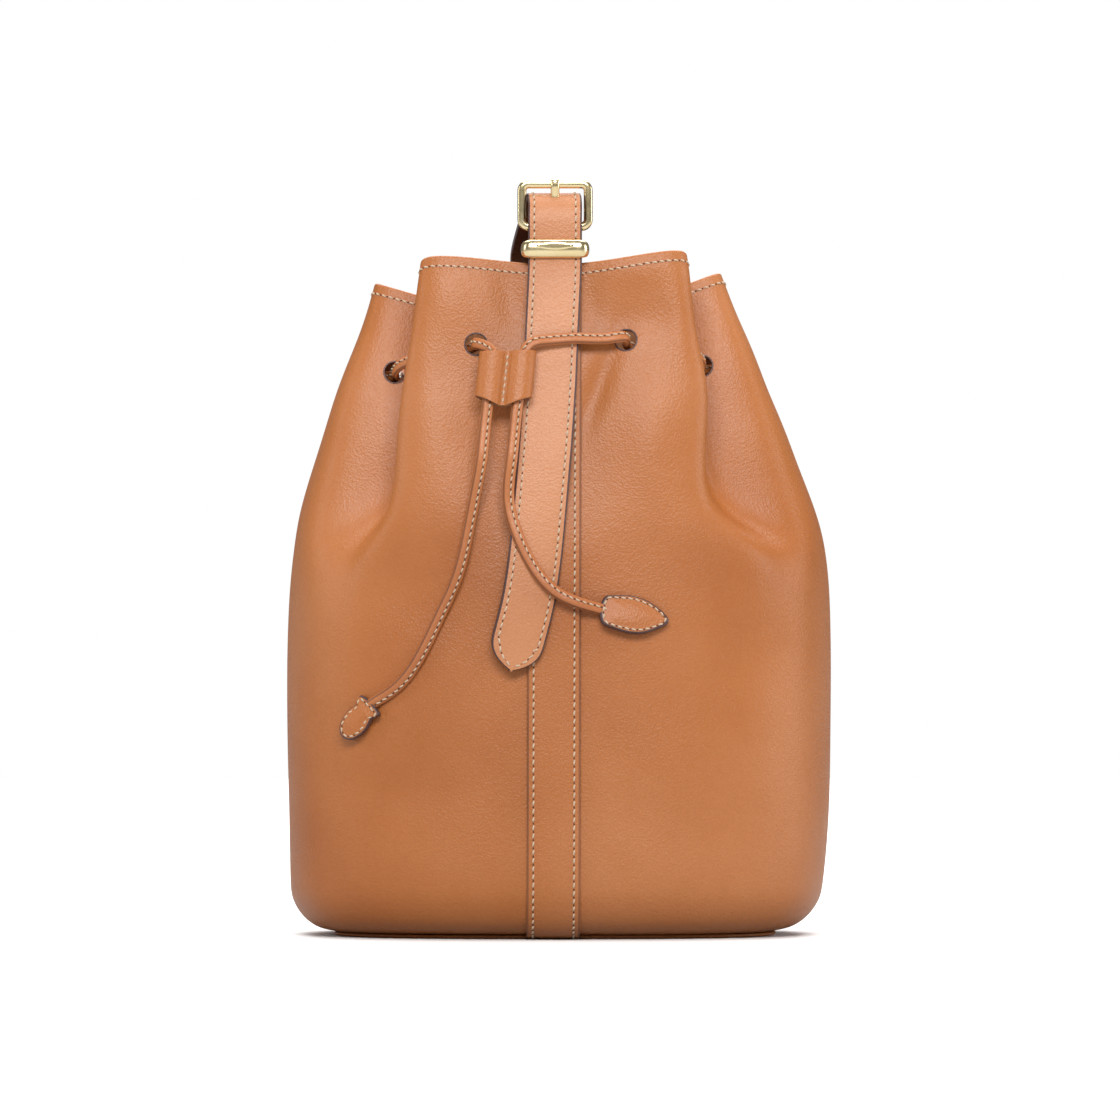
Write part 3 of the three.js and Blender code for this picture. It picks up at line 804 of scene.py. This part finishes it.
def hem():
    """The row of stitches under the rim, all round the mouth."""
    coarse = np.linspace(0, RIB_COUNT, 60)
    around = np.linspace(0, RIB_COUNT, 300)
    level = np.interp(around, coarse, [surface.below_rim(a, HEM) for a in coarse])
    row = surface.sample(level, around, STITCH_LIFT)
    sew("hem_stitches", [row], "bag", pitch=SHORT_STITCH, tilt=0.3, width=1.0)


# ---------------------------------------------------------------- straps and strips
EDGE_PAINT = 0.9  # how far in from the edge a strap is painted


def strap_section(width, thick, crown=0.15):
    """Half-round painted edges and flat faces: (across, out) points with the outer face first."""
    half = width / 2
    rise = thick / 2
    inset = min(0.5, half * 0.3)
    upper = [(half - 2 * inset, rise), (half - inset * 0.7, rise - 0.12), (half - 0.05, rise * 0.55)]
    right = upper + [(half, 0)] + [(x, -y) for x, y in upper[::-1]]
    left = [(-x, y) for x, y in right[::-1]]
    top = [(-half / 2, rise + crown), (0, rise + crown), (half / 2, rise + crown)]
    return np.array(top + right + [(0, -rise)] + left)[::-1]


def strap_mesh(name, centres, sides, outs, widths, thick, materials):
    """A strap along a line: materials are the outer face, the edges and the inner face."""
    sections = np.array([strap_section(w, thick) for w in np.broadcast_to(widths, len(centres))])
    verts, faces = sweep(centres, sides, outs, sections)
    widest = max(sections, key=lambda section: section[:, 0].max())
    return make_mesh(name, verts, faces, materials, face_kinds(widest, len(centres)))


def face_kinds(section, rows):
    """Material of every face of a swept strap: 0 outer face, 1 painted edge, 2 inner face."""
    half = section[:, 0].max()
    kinds = []
    for middle in (section + np.roll(section, -1, 0)) / 2:
        if abs(middle[0]) > half - EDGE_PAINT:
            kinds.append(1)
        else:
            kinds.append(0 if middle[1] > 0 else 2)
    return kinds * (rows - 1) + [1, 1]


def side_rows(centres, sides, outs, width, lift):
    """A row of stitches down each long side of a strap."""
    return [(centres + sides * (sign * (width / 2 - EDGE_INSET)) + outs * lift, outs) for sign in (-1, 1)]


def strip_line(around, top):
    """The middle line of a strip sewn on the bag, from the base seam up to a row value."""
    levels = np.linspace(0.35, top, 120)
    points, _ = surface.sample(levels, around, STRIP_LIFT)
    points[:, 0] = np.linspace(-1.2, 0, 120)
    return points


def strap_frames(centres):
    """Directions along a strap that always lies square to X, with its outer face out."""
    tangent = tangents(centres)
    out = unit(np.cross(X_AXIS, tangent))
    return unit(np.cross(tangent, out)), out


def strip_piece(where, centres, line):
    """A strip up the front or the back, sewn down along the line where it lies on the wall."""
    obj = strap_mesh(where + "_strip_leather", centres, *strap_frames(centres), STRIP_WIDTH, STRIP_THICK,
                     [TAN, STRIP_EDGE, FACING])
    stand_for(obj, "bag", "calf", where + "_strip")
    sew(where + "_strip_stitches", side_rows(line, *strap_frames(line), STRIP_WIDTH, STRIP_LIFT), "bag")
    return obj


WRAP = BAR + 0.8 + STRIP_THICK / 2  # radius of the strip's fold round the hinge bar
PRONG_SLOT = (5.6, 16, 17)


def front_strip():
    """The strip up the front, over the hinge bar and down inside the mouth."""
    line = strip_line(0.0, RIM)
    wrap = [(0, HINGE_Y - WRAP, 372), (0, HINGE_Y - WRAP, 380)]
    for degrees in range(180, -1, -30):
        angle = math.radians(degrees)
        wrap.append((0, HINGE_Y + WRAP * math.cos(angle), HINGE_Z + WRAP * math.sin(angle)))
    wrap += [(0, HINGE_Y + WRAP, 380), (0, -56.4, 368), (0, -58.8, 352), (0, -61, 340)]
    upper = along(np.vstack([line[-6:-1:2], wrap]), 120)
    obj = strip_piece("front", np.vstack([line[:-6], upper]), line)
    boolean_cut(obj, box_mesh("prong_slot", (0, HINGE_Y, HINGE_Z), PRONG_SLOT))


def box_mesh(name, centre, size):
    verts = [[centre[k] + (1 if (n >> k) & 1 else -1) * size[k] / 2 for k in range(3)] for n in range(8)]
    faces = [(0, 2, 3, 1), (4, 5, 7, 6), (0, 1, 5, 4), (2, 6, 7, 3), (0, 4, 6, 2), (1, 3, 7, 5)]
    return make_mesh(name, verts, faces, [EDGE], smooth=False)


def back_strip():
    """The strip up the back, to just under the rim."""
    line = strip_line(HALF_RIBS, RIM - 0.03)[::-1]
    line[:, 0] = 0
    strip_piece("back", line, line)


# the free end, from its tip up to the keeper
TAIL = [(-24.2, -94.5, 147.5), (-19.8, -94.5, 165), (-15.0, -94.2, 184), (-11.2, -92.9, 207),
        (-8.4, -90.5, 234), (-5.4, -86.2, 268), (-3, -80.2, 302), (-1.5, -74.6, 335), (-0.4, -70.6, 358),
        (0, -69.1, 370), (0, -69.1, 377)]
# from the keeper through the buckle and over the mouth to the back rim
OVER = [(0, -69.1, 377.2), (0, -69.1, 389), (0, -68.3, 396), (0, -65.4, 402), (-0.6, -60, 405.4),
        (-1.4, -53, 404.6), (-2.6, -45, 400.6), (-4.6, -34, 393.6), (-8, -14, 382), (-10, 18, 371),
        (-8, 44, 366), (-4, 62, 362.5), (0, 75, 356), (0, 81.5, 347)]
# down behind the bag, up again and tucked in behind the back strip
LOOP = [(0, 83, 336), (0, 87.5, 316), (0, 95, 270), (0, 101, 200), (0, 104.5, 130), (0, 109.5, 95),
        (0, 108, 79), (0, 102, 71), (0, 96.5, 79), (0, 94.5, 95), (0, 95.5, 130), (0, 94, 200),
        (0, 88.5, 270), (0, 81.5, 316), (0, 77, 336), (0, 74.5, 346), (0, 71.5, 350), (0, 68, 349),
        (0, 66.8, 343)]
TIP_LENGTH = 20.0


def tail_widths(line):
    """Full width, then a tip shaped like a pointed arch."""
    width = 1 - (1 - np.clip(distances(line) / TIP_LENGTH, 0, 1)) ** 3.2
    return np.maximum(0.09, width) * STRAP_WIDTH


def tail_strap():
    """The free end of the shoulder strap down the front of the bag."""
    centres = along(TAIL, 200)
    tip = np.linspace(0, 1, 30) ** 2  # the rows lie closer together towards the tip
    centres = np.vstack([centres[0] + (centres[12] - centres[0]) * tip[:, None], centres[13:]])
    sides, outs = strap_frames(centres)
    # below a height of 260 the strap turns by eight degrees to lie on the round of the bag
    turn = math.radians(8) * np.clip((260 - centres[:, 2]) / 70, 0, 1)[:, None]
    sides, outs = sides * np.cos(turn) - outs * np.sin(turn), outs * np.cos(turn) + sides * np.sin(turn)
    widths = tail_widths(centres)
    obj = strap_mesh("tail_leather", centres, sides, outs, widths, STRAP_THICK, [STRAP_PAINTED_SHEEN, EDGE, STRAP_BACK_PAINTED_SHADE])
    start = int(np.argmax(widths > 2 * EDGE_INSET + 1))
    reach = np.maximum(widths / 2 - EDGE_INSET * np.where(widths < STRAP_WIDTH - 0.5, 1.35, 1.0), 0)
    rows = [(centres + sides * (sign * reach)[:, None] + outs * STRAP_LIFT, outs) for sign in (-1, 1)]
    stitches = sew("tail_stitches", [(line[start:], out[start:]) for line, out in rows])
    for piece in (obj, stitches):
        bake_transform(piece)
    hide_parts("strap_tail_face", "strap_tail_back")


def over_strap():
    """The shoulder strap from the keeper through the buckle, over the mouth and down behind the bag."""
    centres = along(OVER + LOOP, 620)
    sides, outs = strap_frames(centres)
    obj = strap_mesh("shoulder_strap_leather", centres, sides, outs, STRAP_WIDTH, STRAP_THICK,
                     [STRAP_PAINTED_SHEEN, EDGE, STRAP_BACK_PAINTED_SHADE])
    stitches = sew("shoulder_strap_stitches", side_rows(centres, sides, outs, STRAP_WIDTH, STRAP_LIFT))
    for piece in (obj, stitches):
        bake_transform(piece)
    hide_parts("strap_over_face", "strap_over_back", "strap_loop_face", "strap_loop_back")


# ---------------------------------------------------------------- buckle and keeper
def rounded_rectangle(width, height, radius, count=16):
    """The points of a rectangle with round corners, count points to a corner."""
    points = []
    for corner, (sx, sy) in enumerate(((1, 1), (-1, 1), (-1, -1), (1, -1))):
        for angle in np.linspace(corner * math.pi / 2, (corner + 1) * math.pi / 2, count):
            points.append((sx * (width / 2 - radius) + radius * math.cos(angle),
                           sy * (height / 2 - radius) + radius * math.sin(angle)))
    return np.array(points)


def buckle():
    """The brass frame, standing up from the hinge bar that is its lower side."""
    outline = rounded_rectangle(FRAME_WIDTH - 2 * BAR, FRAME_HEIGHT - 2 * BAR, 3.7)
    height = outline[:, 1] + HINGE_Z - BAR + FRAME_HEIGHT / 2
    centres = np.column_stack([outline[:, 0], np.full(len(outline), HINGE_Y), height])
    side, out = line_frames(centres, -Y_AXIS, closed=True)
    verts, faces = sweep(centres, side, out, oval(2 * BAR + 0.1, 4.5, 20, 0.75), closed=True)
    obj = make_mesh("buckle_brass", verts, faces, [BRASS])
    stand_for(obj, "buckle", "brass", "buckle_frame")


def prong():
    """A flat brass wire rolled round the hinge bar, whose end rests on the front of the top bar."""
    reach = BAR + 1.5
    loop = []
    for degrees in (*range(300, 631, 30), 650):
        angle = math.radians(degrees)
        loop.append((0, HINGE_Y + reach * math.sin(angle), HINGE_Z + reach * math.cos(angle)))
    top = HINGE_Z + FRAME_HEIGHT - 2 * BAR
    rod = [(0, HINGE_Y - reach + 0.4, HINGE_Z + 3), (0, HINGE_Y - 3.0, HINGE_Z + 9),
           (0, HINGE_Y - 2.9, top - 6), (0, HINGE_Y - BAR - 1.5, top - 2),
           (0, HINGE_Y - BAR - 1.6, top + 0.5), (0, HINGE_Y - BAR - 1.2, top + 2.9)]
    centres = np.vstack([along(loop, 40), along(loop[-2:] + rod, 60)[12:]])
    side, out = line_frames(centres, X_AXIS)
    widths = np.full(len(centres), 4.2)
    widths[-4:] = (4.1, 3.8, 2.9, 1.3)
    sections = oval(1, 1, 14)[None] * widths[:, None, None] * np.array([0.72, 1.15])
    verts, faces = sweep(centres, side, out, sections)
    obj = make_mesh("prong_brass", verts, faces, [BRASS])
    stand_for(obj, "prong", "brass", "buckle_prong")


KEEPER_WIDTH = 33.6
KEEPER_BACK = -53.8  # depth of the loop's back bar
KEEPER_FRONT = -72.7  # depth of its front bar
KEEPER_HEIGHT = 376.9


def keeper():
    """A brass loop round the strap whose front is a plump bar with a raised oval in its middle."""
    deep = KEEPER_BACK - KEEPER_FRONT
    outline = rounded_rectangle(KEEPER_WIDTH, deep, 3.6, 14)
    centres = np.column_stack([outline, np.full(len(outline), KEEPER_HEIGHT)])
    centres[:, 1] += (KEEPER_BACK + KEEPER_FRONT) / 2
    out = unit(np.cross(tangents(centres, closed=True), UP))
    centres[:, 2] += 1.1 * (1 - (centres[:, 0] / 17) ** 2)  # the bar is a little arched
    sizes = []  # height and thickness of the metal at each point
    for x, y, _ in centres:
        ahead = min(1.0, max(0.0, (KEEPER_BACK - y) / deep * 2 - 1))
        belly = 1 - 0.26 * abs(x / 17) ** 2.2
        sizes.append((7.0 + (12.0 * belly - 7.0) * ahead, 1.8 + 3.3 * ahead))
    section = oval(1, 1, 28)[None] * np.array(sizes)[:, None]
    verts, faces = sweep(centres, np.tile(UP, (len(centres), 1)), out, section, closed=True)
    ring = make_mesh("keeper_brass", verts, faces, [BRASS])
    stand_for(ring, "keeper", "brass", "keeper_loop")
    turn = full_turn(64)
    rings = []  # the raised oval, from inside the bar out to its crown
    for part, height in ((1.0, -0.8), (1.0, -0.1), (0.95, 0.12), (0.8, 0.28), (0.5, 0.36), (0.02, 0.38)):
        rings.append(np.column_stack([10.5 * part * np.cos(turn), np.full(64, KEEPER_FRONT - 2.38 - height),
                                      KEEPER_HEIGHT + 2.0 + 2.3 * part * np.sin(turn)]))
    plate = make_mesh("keeper_plate_brass", np.vstack(rings), capped_faces(len(rings), 64), [BRASS])
    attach(plate, "keeper")


# ---------------------------------------------------------------- drawcord, slider and end tabs
# the columns of the surface behind the front folds
HIDDEN = slice(int(surface.grid.shape[1] * 0.14), int(surface.grid.shape[1] * 0.86))


def on_front(x, z, lift):
    """The point at x and z on the front of the bag, lifted off the leather."""
    distance = ((surface.grid[:, :, [0, 2]] - [x, z]) ** 2).sum(axis=2)
    distance[:, HIDDEN] = np.inf
    i, j = np.unravel_index(np.argmin(distance), distance.shape)
    _, depth, _ = surface.grid[i, j]
    return np.array([x, depth, z]) + surface.normals[i, j] * lift


# down the hanging cords: they lean six degrees to the left and come forward with the bag's front
HANG = unit(np.array([-math.tan(math.radians(6)), -0.187, -1.0]))


def hang_point(side, z):
    """The middle of a hanging cord at a height, -1 for the left cord and 1 for the right one."""
    return SLIDER + X_AXIS * side * PITCH / 2 + HANG * (SLIDER[2] - z) / -HANG[2]


def transported(centres, first):
    """Cross directions that turn as little as possible along a line."""
    tangent = tangents(centres)
    out = np.zeros_like(centres)
    now = np.asarray(first, float)
    for i in range(len(centres)):
        now = unit(now - tangent[i] * np.dot(now, tangent[i]))
        out[i] = now
    return unit(np.cross(tangent, out)), out


def cord_piece(name, points, body, node, bend=None):
    """Folded leather cord: a soft fold along one side, a stitched edge along the other.

    With a bend, given as two points, the piece is not attached to its body and only has its transform
    applied; the two points are not used.
    """
    centres = along(points, int(distances(np.array(points))[-1] / 1.3))
    sides, outs = transported(centres, -Y_AXIS)
    ring = oval(CORD_WIDTH, CORD_THICK, 14)
    ring[:, 1] *= np.where(ring[:, 0] < 0, 0.72, 1.0) + 0.12 * ring[:, 0] / CORD_WIDTH
    verts, faces = sweep(centres, sides, outs, ring)
    raw_edge = [1 if 0.40 < x / CORD_WIDTH < 0.46 and y > 0 else 0 for x, y in ring]
    indices = (raw_edge * len(centres))[:len(faces)]
    obj = make_mesh(name, verts, faces, [CORD, STRIP_EDGE], indices)
    line = centres - sides * CORD_WIDTH * 0.2 + outs * CORD_THICK * 0.36
    stitches = sew(name + "_stitches", [(line, outs)], pitch=SHORT_STITCH, width=0.95, margin=0.5)
    for piece in (obj, stitches):
        if bend:
            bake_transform(piece)
        else:
            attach(piece, body)
    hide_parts(node)


def weave(side):
    """The cord's way from the front hole round one side to the back hole, in and out of the leather."""
    where = [(level, around) for s, level, around in HOLE_PLACES if s == side]

    def at(k, offset):
        return surface.sample(*where[k], offset)[0][0]

    middle_rib = RIB_COUNT * (0.25 if side == 1 else 0.75)
    behind_lobe = surface.sample(where[2][0], middle_rib, -14)[0][0]
    return [at(0, 6), at(0, -2), at(0, -10), at(1, -9), at(1, -1), (at(1, 7) + at(2, 8)) / 2,
            at(2, -1), at(2, -10), behind_lobe, at(3, -10), at(3, -1), (at(4, 7) + at(3, 8)) / 2,
            at(4, -1), at(4, -9), at(5, -10), at(5, -2), at(5, 6)]


def drawcord():
    """The cord from the slider round the mouth and back to the slider."""
    front = [hang_point(1, 306), hang_point(1, 317), (-13, -85.0, 325.6), (-4, -82.8, 327.6),
             (12, -80.8, 328.6), (28, -78.3, 328.4)]
    behind = [(20, 77, 313.5), (-20, 77, 313.5)]
    join = [hang_point(-1, 321), hang_point(-1, 306)]
    points = front + weave(1) + behind + weave(-1)[::-1] + join
    cord_piece("drawcord_leather", points, "bag", "drawcord")


# the hanging ends below the slider, each point as (x, z, lift off the bag's front)
LEFT_END = [(-45.0, 238, 7.5), (-50.2, 207, 5), (-55.5, 191, 4), (-61.6, 178, 3.4), (-72.6, 155.7, 3.0),
            (-86, 138.0, 2.8), (-98, 129.8, 3.0), (-101, 127, 3.0)]
RIGHT_END = [(-23.6, 240, 11.4), (-19.0, 221, 10.4), (-12.8, 207, 9.4), (-5.6, 196.4, 9.8),
             (2.2, 189.6, 9.4), (12.5, 184.8, 8.2), (24.5, 181.2, 4.2), (29, 179.8, 3.7)]


def hanging_cords():
    """The two ends of the cord, from inside the slider down to their tabs."""
    for side, places, body, node in ((-1, LEFT_END, "left_cord", "cord_end_left"),
                                     (1, RIGHT_END, "right_cord", "cord_end_right")):
        points = [hang_point(side, z) for z in (306, 290, 275, 262)]
        points += [on_front(*place) for place in places]
        bend = (hang_point(side, 265), hang_point(side, 253))
        cord_piece("hanging_" + body, points, body, node, bend)


def slider():
    """A strip of leather folded into two barrels and sewn down its middle, cut slanting at both ends."""
    down = HANG
    across = unit(X_AXIS - down * np.dot(X_AXIS, down))
    out = unit(np.cross(down, across))
    turns = np.radians(np.linspace(-150, 150, 49))
    barrel = np.column_stack([PITCH / 2 + 7.3 * np.cos(turns), 5.4 * np.sin(turns)])
    barrel[:, 1] *= np.clip(0.45 + barrel[:, 0] / 4, 0, 1)
    outline = np.vstack([barrel, barrel[::-1] * [-1, 1]])[:-1]
    count = len(outline)
    wall = 1.4 * np.sign(outline[:, 0]) * np.minimum(1, np.abs(outline[:, 0]) / 8)
    inner = np.column_stack([outline[:, 0] - wall, outline[:, 1] * 0.68])

    def level(section, station):
        """Length along the slider: the lower end dips to a point in the middle, the upper end leans."""
        x = section[:, 0] / 15
        low = 3.4 - 4.6 * np.abs(x) - 2.2 * np.maximum(x, 0)
        high = 0.4 - 1.8 * x
        return station * SLIDER_HALF + np.where(station > 0, low * station ** 2, high * station ** 2)

    stations = (-1, -0.985, -0.9, -0.5, 0, 0.5, 0.9, 0.985, 1)
    rows = []
    for section, places in ((outline, stations), (inner, (1, 0.9, 0, -0.9, -1))):
        for station in places:
            shrink = 0.985 if section is outline and abs(station) == 1 else 1.0
            rows.append(SLIDER + across * section[:, :1] * shrink + out * section[:, 1:] * shrink
                        + down * level(section, station)[:, None])
    faces = grid_faces(len(rows), count, wrap_rows=True, wrap_columns=True)
    ends = (len(stations) - 1, len(rows) - 1)
    strips = [k // count for k in range(len(faces))]
    indices = [1 if strip in ends else (2 if strip >= len(stations) else 0) for strip in strips]
    obj = make_mesh("slider_leather", np.vstack(rows), faces, [TAN, EDGE, FACING], indices)
    line = SLIDER + out * 2.3 + down * np.linspace(-SLIDER_HALF + 1, SLIDER_HALF + 2.6, 30)[:, None]
    sew("slider_stitches", [(line, out)], "slider", pitch=SHORT_STITCH)
    stand_for(obj, "slider", "calf", "cord_slider")


def tab(name, neck, direction, out, outline, body, node):
    """A leaf of leather folded over the end of the cord and sewn round its edge."""
    direction = unit(np.asarray(direction, float))
    out = unit(np.asarray(out, float) - direction * np.dot(out, direction))
    side = np.cross(out, direction)
    shape = along([(x, y, 0) for x, y in outline], 73, closed=True)[:-1, :2]
    middle = shape.mean(axis=0)
    # each ring as (share of the outline, height above the middle of the leather)
    rings = [(1.0, 0.0), (0.995, 1.3), (0.965, 1.9), (0.92, 2.05), (0.82, 2.1), (0.6, 2.9), (0.3, 3.4),
             (0.02, 3.45)]
    layers = [(part, -height) for part, height in rings[:0:-1]] + rings
    rows = []
    for part, height in layers:
        flat = middle + (shape - middle) * part
        rows.append(neck + flat[:, :1] * direction + flat[:, 1:] * side + out * height)
    count = len(shape)
    faces = capped_faces(len(rows), count)
    edge_rows = range(len(rings) - 4, len(rings) + 2)
    indices = [1 if k // count in edge_rows else 0 for k in range(len(faces) - 2)] + [0, 0]
    obj = make_mesh(name, np.vstack(rows), faces, [TAN, EDGE], indices)
    reach = np.linalg.norm(shape - middle, axis=1, keepdims=True)
    inset = middle + (shape - middle) * (1 - 2.0 / reach)
    line = neck + inset[:, :1] * direction + inset[:, 1:] * side + out * 2.16
    sew(name + "_stitches", [(np.vstack([line, line[:1]]), out)], body, pitch=3.9, width=1.0, margin=0)
    stand_for(obj, body, "calf", node)


# outlines of the two tabs, as (length from the neck, distance across)
RIGHT_TAB = [(0, -6.4), (5, -9.2), (14, -10.6), (24, -9.6), (32, -5.4), (37, -0.6), (32.5, 4.6), (24, 8.8),
             (14, 10.2), (5, 8.8), (0, 6.6)]
LEFT_TAB = [(0, -7.8), (3.5, -6.4), (10, -7.4), (17, -7.0), (22, -4.4), (24, 0), (22, 4.4), (17, 7.0),
            (10, 7.4), (3.5, 6.4), (0, 7.8)]


def tabs():
    tab("right_tab_leather", on_front(25.4, 180.8, 3.6), (0.975, 0.1, -0.165), (0.05, -1, 0.3),
        RIGHT_TAB, "right_cord", "end_tab_right")
    tab("left_tab_leather", on_front(-99.4, 128.6, 3.0), (-0.62, 0.22, -0.73), (-0.45, -0.9, 0.1),
        LEFT_TAB, "left_cord", "end_tab_left")


# ---------------------------------------------------------------- build everything
def build():
    stand_for(wall_half("body_right", 1), "bag", "calf", "body_panel_right", "mouth_facing_right")
    stand_for(wall_half("body_left", -1), "bag", "calf", "body_panel_left", "mouth_facing_left")
    lining()
    base()
    hem()
    front_strip()
    back_strip()
    tail_strap()
    over_strap()
    buckle()
    prong()
    keeper()
    drawcord()
    hanging_cords()
    slider()
    tabs()


# ---------------------------------------------------------------- floor, light and camera
WORLD_LIGHT = 0.36  # soft light from everywhere
WORLD_MIRRORED = 0.18  # how bright the room is in a sheen
WORLD_SEEN = 1.0  # how bright the backdrop looks
# Each lamp as (name, place in metres, width, height, watts).
LIGHTS = [
    ("front", (0.0, -2.1, 1.42), 1.5, 0.7, 49),
    ("left", (-1.9, -0.6, 0.8), 0.5, 1.0, 7),
    ("right", (1.9, -0.4, 0.6), 0.6, 1.0, 11),
    ("top", (0.0, 1.2, 3.2), 4.0, 4.0, 200),
]


def studio():
    floor_material, tree, shader = new_material("floor", (0.92, 0.92, 0.92), 0.8)
    shader.inputs["Specular IOR Level"].default_value = 0.1
    seen = tree.nodes.new("ShaderNodeLightPath").outputs["Is Camera Ray"]
    tree.links.new(mix(tree, seen, (0.45, 0.45, 0.45), (0.94, 0.94, 0.94)), shader.inputs["Base Color"])
    bpy.ops.mesh.primitive_plane_add(size=5, location=(0, 0, 0))
    floor = bpy.context.object
    floor.name = "floor"
    floor.data.materials.append(floor_material)
    world = bpy.data.worlds.new("studio")
    world.use_nodes = True
    tree = world.node_tree
    background = tree.nodes["Background"]
    background.inputs["Color"].default_value = (1, 1, 1, 1)
    path = tree.nodes.new("ShaderNodeLightPath")
    mirrored = map_range(tree, path.outputs["Is Glossy Ray"], WORLD_LIGHT, WORLD_MIRRORED)
    strength = map_range(tree, path.outputs["Is Camera Ray"], WORLD_LIGHT, WORLD_SEEN)
    tree.links.new(mirrored, strength.node.inputs["To Min"])
    tree.links.new(strength, background.inputs["Strength"])
    bpy.context.scene.world = world
    bpy.context.scene.view_settings.view_transform = "Standard"
    for name, place, width, height, power in LIGHTS:
        light = bpy.data.lights.new(name, "AREA")
        light.energy = power
        light.shape = "RECTANGLE"
        light.size = width
        light.size_y = height
        lamp = bpy.data.objects.new(name, light)
        lamp.location = place
        lamp.rotation_euler = (Vector((0, 0, 0.2)) - Vector(place)).to_track_quat("-Z", "Y").to_euler()
        bpy.context.collection.objects.link(lamp)


def camera():
    """A long lens nearly level with the bag, square on to its front."""
    data = bpy.data.cameras.new("camera")
    data.lens = 526
    obj = bpy.data.objects.new("camera", data)
    target = Vector((0.0027, 0, 0.2060))
    distance = 9.0
    elevation = math.radians(1.2)
    obj.location = target + Vector((0, -distance * math.cos(elevation), distance * math.sin(elevation)))
    obj.rotation_euler = (target - obj.location).to_track_quat("-Z", "Y").to_euler()
    bpy.context.collection.objects.link(obj)
    bpy.context.scene.camera = obj


build()
studio()
camera()
